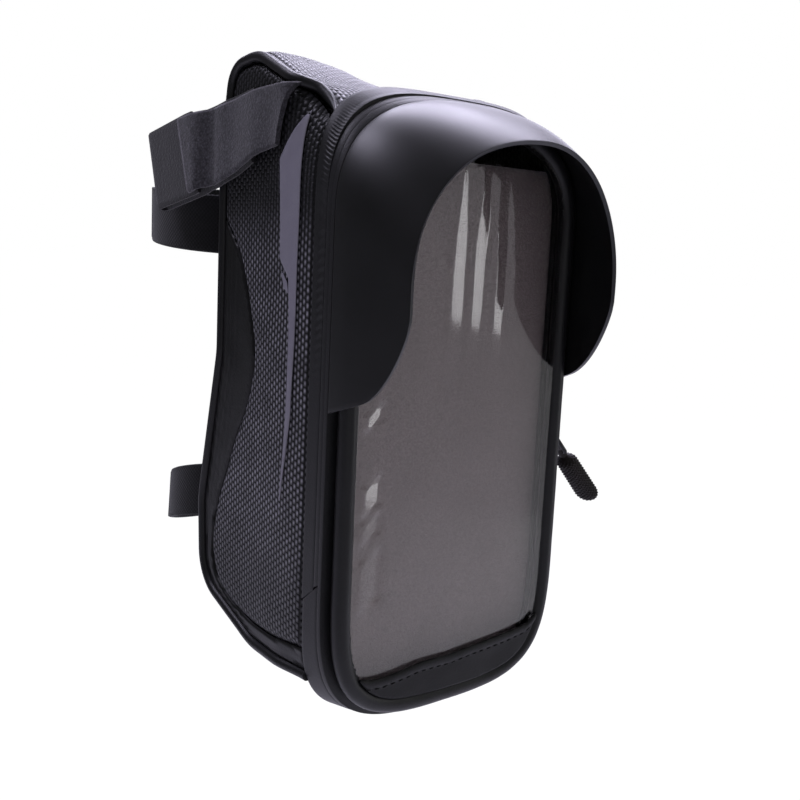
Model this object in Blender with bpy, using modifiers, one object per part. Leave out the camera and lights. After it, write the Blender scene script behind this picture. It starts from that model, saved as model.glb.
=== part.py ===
# Handlebar phone bag
#
# A stiff zipped bag with a clear phone window in its lid, a sun visor over the window and
# strap loops behind. Sizes are in millimetres and become metres in one place, MM.
# X runs across the window, -Y is the window side, +Z is up. The origin is the middle of the
# flat back face that lies against the tube.

from math import cos, floor, hypot, pi, radians, sin

import bmesh
import bpy
from mathutils import Matrix, Vector

MM = 0.001
CLEAR = 0.3                  # gap left between pieces that touch

# Whole bag
HALF_WIDTH = 48.2            # to the outside of a side panel at its front seam
HALF_BACK = 46.2             # and behind
BODY_DEPTH = 61.0            # front seam of the body to the flat back face
BACK_TOP = 47.0              # highest and lowest edge of the flat back face
BACK_BOTTOM = -19.0
SIDE_WALL = 2.5              # padded side panel
GUSSET_WALL = 2.2            # strip over the top, down the back and under the bag
SIDE_PUFF = 0.8              # how far a side panel swells in its middle

# Side view: corners of the side panel as (y, z), each with its fillet radius
TOP_FRONT = (-BODY_DEPTH + CLEAR, 63.0)
TOP_CREST = (-21.0, 77.0)
TOP_REAR = (-5.2, 75.0)
HEEL_UPPER = (12.2, -73.0)
HEEL_LOWER = (10.4, -103.0)
SOLE_REAR = (-26.0, -115.0)
SOLE_FRONT = (-BODY_DEPTH + CLEAR, -114.0)
SIDE_CORNERS = (
    (TOP_FRONT, 0.0),
    (TOP_CREST, 30.0),
    (TOP_REAR, 9.0),
    ((0.0, BACK_TOP), 30.0),
    ((0.0, BACK_BOTTOM), 25.0),
    (HEEL_UPPER, 30.0),
    (HEEL_LOWER, 16.0),
    (SOLE_REAR, 30.0),
    (SOLE_FRONT, 0.0),
)

# Crown of the strip between the side panels
TOP_CROWN = 2.6
SOLE_CROWN_FRONT = 16.0
SOLE_CROWN_REAR = 2.5

# Piping
PIPING_RADIUS = 1.7
PIPING_STANDS = 1.0          # how far the piping stands out past the side

# Rim of the bag's mouth, as it runs from the arched lid back to the squarer body:
# height where the arch springs, top, power of the arch, and the same below
RIM_DEPTH = 9.6
LID_RIM = {"half": 48.0, "spring": 27.0, "top": 63.5, "power": 2.5,
           "heel": -83.0, "bottom": -130.0, "low_power": 3.2}
BODY_RIM = {"half": 48.2, "spring": 22.0, "top": 67.0, "power": 4.0,
            "heel": -91.0, "bottom": -130.0, "low_power": 3.5}

# Lid, from its frame forward
FRAME_THICK = 1.5
FRAME_WIDTH = 7.2
WELT_RADIUS = 3.0
WELT_GAP = 0.9               # welt to the root of the visor
FILM_THICK = 0.5
FILM_SET_BACK = 1.5          # film behind the front of the welt
POCKET_DEPTH = 6.3           # room for a phone between film and pocket back
POCKET_BACK_THICK = 2.2
POCKET_MOUTH = 17.0          # pocket's open top below the top of the lid
LIP_THICK = 0.9
LIP_HEIGHT = 10.5            # of the panel below the window, at its middle
LIP_WAVE = 1.6
HEM_HEIGHT = 3.2
HEM_THICK = 0.8

# Visor
VISOR_THICK = 1.3
VISOR_DEPTH = 27.0
VISOR_HALF = 39.8            # at the free edge
VISOR_SPRING = 8.0
VISOR_TOP = 50.8
VISOR_POWER = 2.6
VISOR_BOW = 1.5              # how late the visor turns inward
VISOR_LOW = -25.0            # lower end at the lid
VISOR_CORNER = 18.0          # radius of the free lower corners

# Zip
TAPE_THICK = 0.9
TAPE_LID = 1.6               # visible width on each side of the slot
ZIP_SLOT = 1.2
TAPE_BODY = RIM_DEPTH - FRAME_THICK - CLEAR - TAPE_LID - ZIP_SLOT
COIL_THICK = 1.5
COIL_WIDTH = 1.5
ZIP_END = -88.0              # both ends of the zip, low on the sides
SLIDER_Z = -44.0
SLIDER_LENGTH = 9.0
SLIDER_WIDTH = 6.8
SLIDER_WALL = 1.2
SLIDER_POST = 0.6
STOP_LENGTH = 2.6
PULL_TAB_LENGTH = 9.0
PULL_TAB_WIDTH = 5.0
PULL_WIRE = 0.7
GRIP_LENGTH = 25.0
GRIP_WIDTH = 9.0
GRIP_THICK = 5.4
PULL_ANGLE = 43.0            # out from hanging straight down

# Reflective stripe on each side, as (y, z) corners
STRIPE_THICK = 0.4
STRIPE = ((-53.2, 57.8), (-40.7, 44.3), (-42.6, 14.0), (-48.2, 8.6), (-49.4, -8.0), (-49.6, -24.0),
          (-48.4, -42.0), (-46.4, -66.7), (-49.6, -47.0), (-51.8, -32.7), (-52.8, -14.6),
          (-53.2, 6.0), (-53.4, 30.0))

# Curved seam between the embossed side panel and its smooth border, as (y, z)
SEAM = ((-2.4, 26.0), (-8.0, 20.8), (-13.0, 16.0), (-18.3, 5.4), (-21.1, -2.2), (-23.7, -9.3),
        (-25.3, -16.3), (-24.7, -21.6), (-22.4, -29.8), (-18.3, -38.1), (-13.0, -45.9),
        (-8.5, -55.2), (-2.0, -68.0), (2.2, -78.0), (3.6, -86.0), (2.8, -93.0), (-0.6, -99.5),
        (-9.2, -105.0), (-23.8, -107.6), (-40.5, -107.4), (-BODY_DEPTH + CLEAR, -104.5))

# Straps
NECK_STRAP_WIDTH = 27.0
NECK_STRAP_THICK = 1.6
NECK_TOP = 64.6              # upper edge where it leaves the seam
NECK_DROOP = 5.5
NECK_LEAN = 9.0              # slant of the free ends
NECK_ROOT_Y = -40.0
NECK_SLANT = 8.0             # how far the root's upper corner lies in front of its lower one
NECK_END_Y = 12.0
NECK_TURN_Y = 36.0
NECK_FLARE = 2.0             # how far a strap's end stands away from the side
LOOP_STRAP_WIDTH = 20.4
LOOP_STRAP_THICK = 1.8
UPPER_LOOP_Z = 24.2
UPPER_LOOP_HALF = 47.0       # half of a strap loop's length across the bag
UPPER_LOOP_DEPTH = 84.0
UPPER_LOOP_RISE = 6.0        # how much higher its far side lies
LOWER_LOOP_Z = -74.0
LOWER_LOOP_HALF = 40.0
LOWER_LOOP_DEPTH = 60.0
LOWER_LOOP_RISE = -16.0
KEEPER_WIDTH = 20.0
KEEPER_THICK = 1.2
TAIL_START = 0.72            # share of a loop's depth behind which its tail lies
HOOK_PATCH_THICK = 1.0

BAG = "handlebar_phone_bag"


def clear_scene():
    for old in list(bpy.data.objects):
        bpy.data.objects.remove(old, do_unlink=True)


def make_material(name, colour, roughness, metallic=0.0, alpha=1.0):
    material = bpy.data.materials.new(name)
    material.use_nodes = True
    shader = material.node_tree.nodes["Principled BSDF"]
    shader.inputs["Base Color"].default_value = (*colour, 1.0)
    shader.inputs["Roughness"].default_value = roughness
    shader.inputs["Metallic"].default_value = metallic
    shader.inputs["Alpha"].default_value = alpha
    return material


def smooth_step(value):
    value = min(1.0, max(0.0, value))
    return value * value * (3.0 - 2.0 * value)


def blend(first, second, share):
    return first + (second - first) * share


def shade(mesh, angle=35.0):
    mesh.shade_smooth()
    mesh.set_sharp_from_angle(angle=radians(angle))


def add_mesh(name, bm, material, collection, place=None, inside=None):
    """Turn a bmesh in millimetres into a named object in metres; a sheet faces away from inside."""
    bmesh.ops.recalc_face_normals(bm, faces=bm.faces)
    if inside is not None:
        bm.faces.ensure_lookup_table()
        middle = bm.faces[len(bm.faces) // 2]
        if middle.normal.dot(middle.calc_center_median() - Vector(inside)) < 0.0:
            bmesh.ops.reverse_faces(bm, faces=bm.faces)
    bmesh.ops.scale(bm, vec=(MM, MM, MM), verts=bm.verts)
    mesh = bpy.data.meshes.new(name)
    bm.to_mesh(mesh)
    bm.free()
    shade(mesh)
    mesh.materials.append(material)
    piece = bpy.data.objects.new(name, mesh)
    collection.objects.link(piece)
    if place is not None:
        offset = Vector(place) * MM
        mesh.transform(Matrix.Translation(-offset))
        piece.location = offset
    return piece


def mapped_grid(columns, rows, point, close_columns=False, close_rows=False):
    """A grid whose vertices go where point(u, v) says, with u and v from 0 to 1."""
    bm = bmesh.new()
    bmesh.ops.create_grid(bm, x_segments=columns, y_segments=rows, size=0.5)
    for vertex in bm.verts:
        vertex.co = Vector(point(vertex.co.x + 0.5, vertex.co.y + 0.5))
    if close_columns or close_rows:
        bmesh.ops.remove_doubles(bm, verts=bm.verts, dist=0.0005)
    return bm


def cap_open_ends(bm):
    bmesh.ops.holes_fill(bm, edges=[edge for edge in bm.edges if edge.is_boundary], sides=0)


def thicken(piece, wall, offset=-1.0):
    modifier = piece.modifiers.new("wall", "SOLIDIFY")
    modifier.thickness = wall * MM
    modifier.offset = offset
    modifier.use_even_offset = True
    return modifier


def flat_sheet(outline, cuts_y, cuts_z):
    """A flat sheet in the YZ plane with its outline cut into a grid of faces."""
    bm = bmesh.new()
    corners = [bm.verts.new((0.0, y, z)) for y, z in outline]
    bm.faces.new(corners)
    for normal, places in (((0, 1, 0), cuts_y), ((0, 0, 1), cuts_z)):
        for place in places:
            centre = [part * place for part in normal]
            everything = bm.verts[:] + bm.edges[:] + bm.faces[:]
            bmesh.ops.bisect_plane(bm, geom=everything, dist=0.0001, plane_co=centre, plane_no=normal)
    return bm


def fillet_path(corners, step=6.0, run=14.0):
    """Points along straight runs whose corners, given as ((y, z), radius), are rounded."""
    path = []
    last = len(corners) - 1
    for index, (corner, radius) in enumerate(corners):
        here = Vector(corner)
        if index in (0, last) or radius == 0.0:
            path.append(here)
            continue
        back = (Vector(corners[index - 1][0]) - here).normalized()
        ahead = (Vector(corners[index + 1][0]) - here).normalized()
        half_angle = back.angle(ahead) / 2.0
        reach = radius * cos(half_angle) / sin(half_angle)
        centre = here + (back + ahead).normalized() * (radius / sin(half_angle))
        start = here + back * reach
        end = here + ahead * reach
        sweep = (start - centre).angle_signed(end - centre)
        pieces = max(3, round(abs(sweep) * radius / step))
        for part in range(pieces + 1):
            turned = (start - centre).copy()
            turned.rotate(Matrix.Rotation(-sweep * part / pieces, 2))
            path.append(centre + turned)
    spaced = [path[0]]
    for point in path[1:]:
        span = (point - spaced[-1]).length
        start = spaced[-1]
        count = max(1, round(span / run))
        for part in range(1, count + 1):
            spaced.append(start.lerp(point, part / count))
    return [(point.x, point.y) for point in spaced]


def offset_path(path, distance):
    """The path moved to its right-hand side by distance, ends kept on their own normals."""
    moved = []
    for index, (y, z) in enumerate(path):
        before = path[max(0, index - 1)]
        after = path[min(len(path) - 1, index + 1)]
        along_y, along_z = after[0] - before[0], after[1] - before[1]
        length = hypot(along_y, along_z)
        moved.append((y + along_z / length * distance, z - along_y / length * distance))
    return moved


SIDE_PATH = fillet_path(SIDE_CORNERS)


def arch_share(height, power):
    """How much of the full half width is left at a share of the arch's height."""
    height = min(0.98, max(0.0, height))
    return (1.0 - height ** power) ** (1.0 / power)


def half_width_at(y, z):
    """Half width of the body: it draws in towards the rim's rounded corners."""
    front = 1.0 - smooth_step((y + BODY_DEPTH) / 38.0)
    share = 1.0
    half = blend(HALF_BACK, HALF_WIDTH, 1.0 - smooth_step((y + BODY_DEPTH) / 45.0))
    if z > BODY_RIM["spring"]:
        rise = (z - BODY_RIM["spring"]) / (BODY_RIM["top"] - BODY_RIM["spring"])
        share = arch_share(rise, BODY_RIM["power"])
    if z < BODY_RIM["heel"]:
        drop = (BODY_RIM["heel"] - z) / (BODY_RIM["heel"] - BODY_RIM["bottom"])
        share = arch_share(drop, BODY_RIM["low_power"])
    return half * (1.0 - front * (1.0 - share))


def puff_at(y, z):
    """Swell of a side panel, none at its edges."""
    across = (y + BODY_DEPTH) / (BODY_DEPTH + 6.0)
    up = (z - SOLE_FRONT[1]) / (TOP_CREST[1] - SOLE_FRONT[1])
    if not (0.0 < across < 1.0 and 0.0 < up < 1.0):
        return 0.0
    return SIDE_PUFF * sin(pi * across) * sin(pi * up) ** 0.5


def rim_point(around, share, inset=0.0):
    """A point (x, z) on the rim: around is 0 at the bottom and goes up the right side."""
    shape = {key: blend(LID_RIM[key], BODY_RIM[key], share) for key in LID_RIM}
    around -= floor(around)
    side = 1.0 if around <= 0.5 else -1.0
    place = (around if around <= 0.5 else 1.0 - around) * 2.0
    low_end, high_start = 0.28, 0.62

    def on_outline(place):
        if place < low_end:
            angle = (1.0 - place / low_end) * pi / 2.0
            reach = shape["half"] * max(0.0, cos(angle)) ** (2.0 / shape["low_power"])
            drop = (shape["heel"] - shape["bottom"]) * sin(angle) ** (2.0 / shape["low_power"])
            return Vector((reach, shape["heel"] - drop))
        if place < high_start:
            share_up = (place - low_end) / (high_start - low_end)
            return Vector((shape["half"], blend(shape["heel"], shape["spring"], share_up)))
        angle = (place - high_start) / (1.0 - high_start) * pi / 2.0
        reach = shape["half"] * max(0.0, cos(angle)) ** (2.0 / shape["power"])
        rise = (shape["top"] - shape["spring"]) * sin(angle) ** (2.0 / shape["power"])
        return Vector((reach, shape["spring"] + rise))

    spot = on_outline(place)
    if inset:
        nudge = 0.004
        before = on_outline(max(0.0, place - nudge))
        after = on_outline(min(1.0, place + nudge))
        along = (after - before).normalized()
        if place <= 0.0 or place >= 1.0:
            along = Vector((1.0 if place <= 0.0 else -1.0, 0.0))
        spot += Vector((-along.y, along.x)) * inset
        spot.x = max(0.0, spot.x)
    return side * spot.x, spot.y


LID_FRONT_Y = -BODY_DEPTH - RIM_DEPTH          # front face of the lid frame


def rim_share(y):
    return min(1.0, max(0.0, (y - LID_FRONT_Y) / RIM_DEPTH))


def rim_bar(front_y, back_y, outer_inset, inner_inset, first=0.0, last=1.0, steps=64):
    """A bar of rectangular section that follows the rim, closed or between two places."""
    closed = first == 0.0 and last == 1.0
    section = ((front_y, outer_inset), (back_y, outer_inset), (back_y, inner_inset),
               (front_y, inner_inset), (front_y, outer_inset))

    def point(u, v):
        y, inset = section[round(v * 4)]
        x, z = rim_point(blend(first, last, u), rim_share(y), inset)
        return x, y, z

    bm = mapped_grid(steps, 4, point, close_columns=closed, close_rows=True)
    if not closed:
        cap_open_ends(bm)
    return bm


def rim_plate(front_y, back_y, inset, trim=None, steps=56, rim_y=LID_FRONT_Y):
    """A plate that fills the rim's outline; trim can move an outline point."""
    bm = bmesh.new()
    outline = []
    for index in range(steps):
        x, z = rim_point(index / steps, rim_share(rim_y), inset)
        if trim is not None:
            x, z = trim(x, z)
        outline.append(bm.verts.new((x, front_y, z)))
    face = bm.faces.new(outline)
    solid = bmesh.ops.extrude_face_region(bm, geom=[face])
    moved = [item for item in solid["geom"] if isinstance(item, bmesh.types.BMVert)]
    bmesh.ops.translate(bm, vec=(0.0, back_y - front_y, 0.0), verts=moved)
    bmesh.ops.triangulate(bm, faces=[face for face in bm.faces if len(face.verts) > 4])
    return bm


def round_cord(name, points, radius, material, collection, closed=False, resolution=2):
    curve = bpy.data.curves.new(name, "CURVE")
    curve.dimensions = "3D"
    curve.bevel_depth = radius * MM
    curve.bevel_resolution = resolution
    curve.use_fill_caps = True
    spline = curve.splines.new("POLY")
    spline.points.add(len(points) - 1)
    for target, spot in zip(spline.points, points):
        target.co = (*(Vector(spot) * MM), 1.0)
    spline.use_cyclic_u = closed
    curve.materials.append(material)
    piece = bpy.data.objects.new(name, curve)
    collection.objects.link(piece)
    return piece


def box_mesh(low, high, bevel=0.0):
    bm = bmesh.new()
    bmesh.ops.create_cube(bm, size=1.0)
    size = Vector(high) - Vector(low)
    bmesh.ops.scale(bm, vec=size, verts=bm.verts)
    bmesh.ops.translate(bm, vec=(Vector(high) + Vector(low)) / 2.0, verts=bm.verts)
    if bevel:
        bmesh.ops.bevel(bm, geom=bm.edges[:], offset=bevel, segments=2, affect="EDGES", profile=0.5,
                        material=-1)
    return bm


def racetrack(half_length, depth, start_y, straight, steps=14):
    """A closed strap loop seen from above, with its front run along the back of the bag.

    straight is half of the run that lies flat under the keeper."""
    radius = half_length - straight
    middle = start_y + depth / 2.0
    route = []
    for side in (1.0, -1.0):
        for part in range(steps + 1):
            angle = -pi / 2.0 + pi * part / steps
            x = side * (straight + cos(angle) * radius)
            y = middle + side * sin(angle) * depth / 2.0
            route.append((x, y))
    return route


def crown_at(y, z):
    """Rise of the strip's middle above its edges, and how square that crown is."""
    if z > BACK_TOP:
        return TOP_CROWN * smooth_step((z - BACK_TOP) / 22.0), 4.0
    if z < HEEL_UPPER[1]:
        front = 1.0 - smooth_step((y + BODY_DEPTH) / 50.0)
        fade = smooth_step((HEEL_UPPER[1] - z) / 30.0)
        return blend(SOLE_CROWN_REAR, SOLE_CROWN_FRONT, front) * fade, 3.0
    return 0.0, 2.0


def make_gusset(material, collection):
    """One long strip: over the top, down the back and under the bag."""
    count = len(SIDE_PATH) - 1
    edge_in = SIDE_WALL + 2.0 * CLEAR

    def point(u, v):
        index = round(u * count)
        y, z = SIDE_PATH[index]
        half = half_width_at(y, z) - edge_in
        x = blend(-half, half, v)
        crown, power = crown_at(y, z)
        lift = crown * (1.0 - abs(2.0 * v - 1.0) ** power)
        before = SIDE_PATH[max(0, index - 1)]
        after = SIDE_PATH[min(count, index + 1)]
        along = Vector((after[0] - before[0], after[1] - before[1])).normalized()
        if index in (0, count):
            return x, y, z + (lift if index == 0 else -lift)
        return x, y - along.y * lift, z + along.x * lift

    bm = mapped_grid(count, 12, point)
    piece = add_mesh("gusset_strip", bm, material, collection, inside=(0.0, -BODY_DEPTH / 2.0, 0.0))
    thicken(piece, GUSSET_WALL)


def panel_piece(name, outline, side, material, collection, wall, lift=0.0):
    """A sewn side sheet from a (y, z) outline, laid on the swelling side of the bag."""
    ys = [y for y, z in outline]
    zs = [z for y, z in outline]
    cuts_y = [min(ys) + 5.0 * step for step in range(1, int((max(ys) - min(ys)) / 5.0) + 1)]
    cuts_z = [min(zs) + 7.0 * step for step in range(1, int((max(zs) - min(zs)) / 7.0) + 1)]
    bm = flat_sheet(outline, cuts_y, cuts_z)
    for vertex in bm.verts:
        y, z = vertex.co.y, vertex.co.z
        vertex.co.x = side * (half_width_at(y, z) + puff_at(y, z) + lift)
    outward = Vector((side, 0.0, 0.0))
    bm.normal_update()
    for face in bm.faces:
        if face.normal.dot(outward) < 0.0:
            face.normal_flip()
    back = bmesh.ops.extrude_face_region(bm, geom=bm.faces[:])
    moved = [item for item in back["geom"] if isinstance(item, bmesh.types.BMVert)]
    bmesh.ops.translate(bm, vec=outward * -wall, verts=moved)
    return add_mesh(name, bm, material, collection)


def make_sides(embossed, smooth, reflective, cord, collection):
    """Embossed panel, smooth border, stripe and piping on both sides."""
    inner = offset_path(SIDE_PATH, PIPING_RADIUS + CLEAR)
    inner[0] = (SIDE_PATH[0][0], inner[0][1])
    inner[-1] = (SIDE_PATH[-1][0], inner[-1][1])
    seam_top_z = SEAM[0][1]
    upper = [spot for spot in inner if spot[1] > seam_top_z + CLEAR]
    lower = [spot for spot in inner if spot[1] < seam_top_z - 4.0]
    lower.insert(0, (lower[0][0], seam_top_z - 3.0))
    panel_outline = upper + list(SEAM)
    border_seam = offset_path(list(SEAM), -CLEAR)
    border_seam[-1] = (SEAM[-1][0], SEAM[-1][1] - CLEAR)
    border_outline = lower + border_seam[:0:-1]
    for name, side in (("left", -1.0), ("right", 1.0)):
        panel_piece(f"side_panel_{name}", panel_outline, side, embossed, collection, SIDE_WALL)
        panel_piece(f"side_border_{name}", border_outline, side, smooth, collection, SIDE_WALL)
        panel_piece(f"reflective_stripe_{name}", STRIPE, side, reflective, collection, STRIPE_THICK,
                    lift=CLEAR + STRIPE_THICK)
        reach = PIPING_STANDS - PIPING_RADIUS
        points = [(side * (half_width_at(y, z) + reach), y, z) for y, z in SIDE_PATH]
        round_cord(f"piping_{name}", points, PIPING_RADIUS, cord, collection)


def make_lid(skin, edge_cord, clear_film, backing, visor_sheet, collection):
    """The lid: frame, welt, window film, lip, pocket and visor."""
    front = LID_FRONT_Y
    bar = rim_bar(front, front + FRAME_THICK, 0.0, FRAME_WIDTH)
    add_mesh("lid_frame", bar, skin, collection)

    welt_inset = VISOR_THICK + WELT_GAP + WELT_RADIUS
    welt_y = front - CLEAR - WELT_RADIUS
    steps = 56
    welt_points = []
    for index in range(steps):
        x, z = rim_point(index / steps, 0.0, welt_inset)
        welt_points.append((x, welt_y, z))
    round_cord("lid_welt", welt_points, WELT_RADIUS, edge_cord, collection, closed=True)

    opening_inset = welt_inset + WELT_RADIUS + CLEAR
    film_y = welt_y - WELT_RADIUS + FILM_SET_BACK
    film = rim_plate(film_y, film_y + FILM_THICK, opening_inset)
    add_mesh("window_film", film, clear_film, collection)

    opening_bottom = rim_point(0.0, 0.0, opening_inset)[1]
    lip_top = opening_bottom + LIP_HEIGHT
    lip_back = film_y - CLEAR
    half_opening = LID_RIM["half"] - opening_inset

    def hem_line(x):
        return lip_top + LIP_WAVE * sin(x / half_opening * pi) * (1.0 if x < 0 else 0.6)

    lip_reach = 0.0
    while True:
        x, z = rim_point(lip_reach + 0.002, 0.0, opening_inset)
        if hem_line(x) - z < 1.5:
            break
        lip_reach += 0.002

    def lip_point(u, v):
        corner = round(v * 4) % 4
        x, z = rim_point(blend(-lip_reach, lip_reach, u), 0.0, opening_inset)
        y = lip_back - LIP_THICK if corner in (0, 1) else lip_back
        return x, y, hem_line(x) if corner in (1, 2) else z

    lip = mapped_grid(28, 4, lip_point, close_rows=True)
    cap_open_ends(lip)
    add_mesh("window_lip", lip, skin, collection)

    hem_front = lip_back - LIP_THICK - CLEAR - HEM_THICK
    hem_half = half_opening - 3.0

    def hem_point(u, v):
        x = blend(-hem_half, hem_half, u)
        y = hem_front if round(v * 4) % 4 in (0, 1) else hem_front + HEM_THICK
        z = hem_line(x) - (HEM_HEIGHT if round(v * 4) % 4 in (0, 3) else 0.0)
        return x, y, z

    hem = mapped_grid(20, 4, hem_point, close_rows=True)
    cap_open_ends(hem)
    add_mesh("lip_hem", hem, skin, collection)

    back_front = film_y + FILM_THICK + POCKET_DEPTH
    pocket_inset = FRAME_WIDTH - 2.4
    pocket_top = LID_RIM["top"] - POCKET_MOUTH

    def below_slot(x, z):
        return x, min(z, pocket_top)

    pocket = rim_plate(back_front, back_front + POCKET_BACK_THICK, pocket_inset, trim=below_slot)
    bmesh.ops.remove_doubles(pocket, verts=pocket.verts, dist=0.01)
    add_mesh("pocket_back", pocket, backing, collection)
    make_visor(visor_sheet, collection)


def visor_point(across, out):
    """A point on the visor's outer face: out is 0 at the lid and 1 at the free edge."""
    depth = out * VISOR_DEPTH
    turned = out ** VISOR_BOW
    half = blend(LID_RIM["half"], VISOR_HALF, turned)
    spring = blend(LID_RIM["spring"], VISOR_SPRING, turned)
    top = blend(LID_RIM["top"], VISOR_TOP, turned)
    power = blend(LID_RIM["power"], VISOR_POWER, turned)
    low = VISOR_LOW
    past = depth - (VISOR_DEPTH - VISOR_CORNER)
    if past > 0.0:
        low += VISOR_CORNER - (VISOR_CORNER ** 2 - min(past, VISOR_CORNER) ** 2) ** 0.5
    side = 1.0 if across <= 0.5 else -1.0
    place = (across if across <= 0.5 else 1.0 - across) * 2.0
    straight = 0.3
    if place < straight:
        x, z = half, blend(low, spring, place / straight)
    else:
        angle = (place - straight) / (1.0 - straight) * pi / 2.0
        x = half * max(0.0, cos(angle)) ** (2.0 / power)
        z = spring + (top - spring) * sin(angle) ** (2.0 / power)
    return side * x, LID_FRONT_Y - CLEAR - depth, z


def make_visor(material, collection):
    bm = mapped_grid(44, 9, visor_point)
    visor = add_mesh("sun_visor", bm, material, collection, inside=(0.0, LID_FRONT_Y, VISOR_SPRING))
    thicken(visor, VISOR_THICK)


def zip_place(z, side):
    """Share of the way around the rim at which the outer edge passes a height."""
    low_end, high_start = 0.28, 0.62
    share = (z - BODY_RIM["heel"]) / (BODY_RIM["spring"] - BODY_RIM["heel"])
    place = blend(low_end, high_start, share) / 2.0
    return place if side > 0 else 1.0 - place


def make_zip(tape, coil, skin, metal, collection):
    """Tapes and coils on both sides of the slot, end stops and the hinge strip below."""
    slot_middle = LID_FRONT_Y + FRAME_THICK + CLEAR + TAPE_LID + ZIP_SLOT / 2.0
    first, last = zip_place(ZIP_END, 1.0), zip_place(ZIP_END, -1.0)
    lid_back = slot_middle - ZIP_SLOT / 2.0
    body_front = slot_middle + ZIP_SLOT / 2.0
    coil_in = TAPE_THICK + CLEAR
    for name, low, high in (("lid", lid_back - TAPE_LID, lid_back),
                            ("body", body_front, body_front + TAPE_BODY)):
        bar = rim_bar(low, high, 0.0, TAPE_THICK, first, last, steps=56)
        add_mesh(f"zip_tape_{name}", bar, tape, collection)
    for name, low, high in (("lid", lid_back - COIL_WIDTH, lid_back),
                            ("body", body_front, body_front + COIL_WIDTH)):
        bar = rim_bar(low, high, coil_in, coil_in + COIL_THICK, first, last, steps=56)
        add_mesh(f"zip_coil_{name}", bar, coil, collection)

    hinge_gap = 0.004
    hinge_front = LID_FRONT_Y + FRAME_THICK + CLEAR
    bars = rim_bar(hinge_front, body_front + TAPE_BODY, 0.0, 1.4, last + hinge_gap - 1.0,
                   first - hinge_gap, steps=20)
    add_mesh("hinge_strip", bars, skin, collection)

    for name, side in (("left", -1.0), ("right", 1.0)):
        middle = side * (LID_RIM["half"] - TAPE_THICK - COIL_THICK - 2.0 * CLEAR - 0.5)
        low = (middle - 0.5, slot_middle + 1.0, ZIP_END + 6.0)
        high = (middle + 0.5, slot_middle + 4.4, ZIP_END + 6.0 + STOP_LENGTH)
        add_mesh(f"zip_stop_{name}", box_mesh(low, high, 0.2), metal, collection)
    return slot_middle


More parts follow.
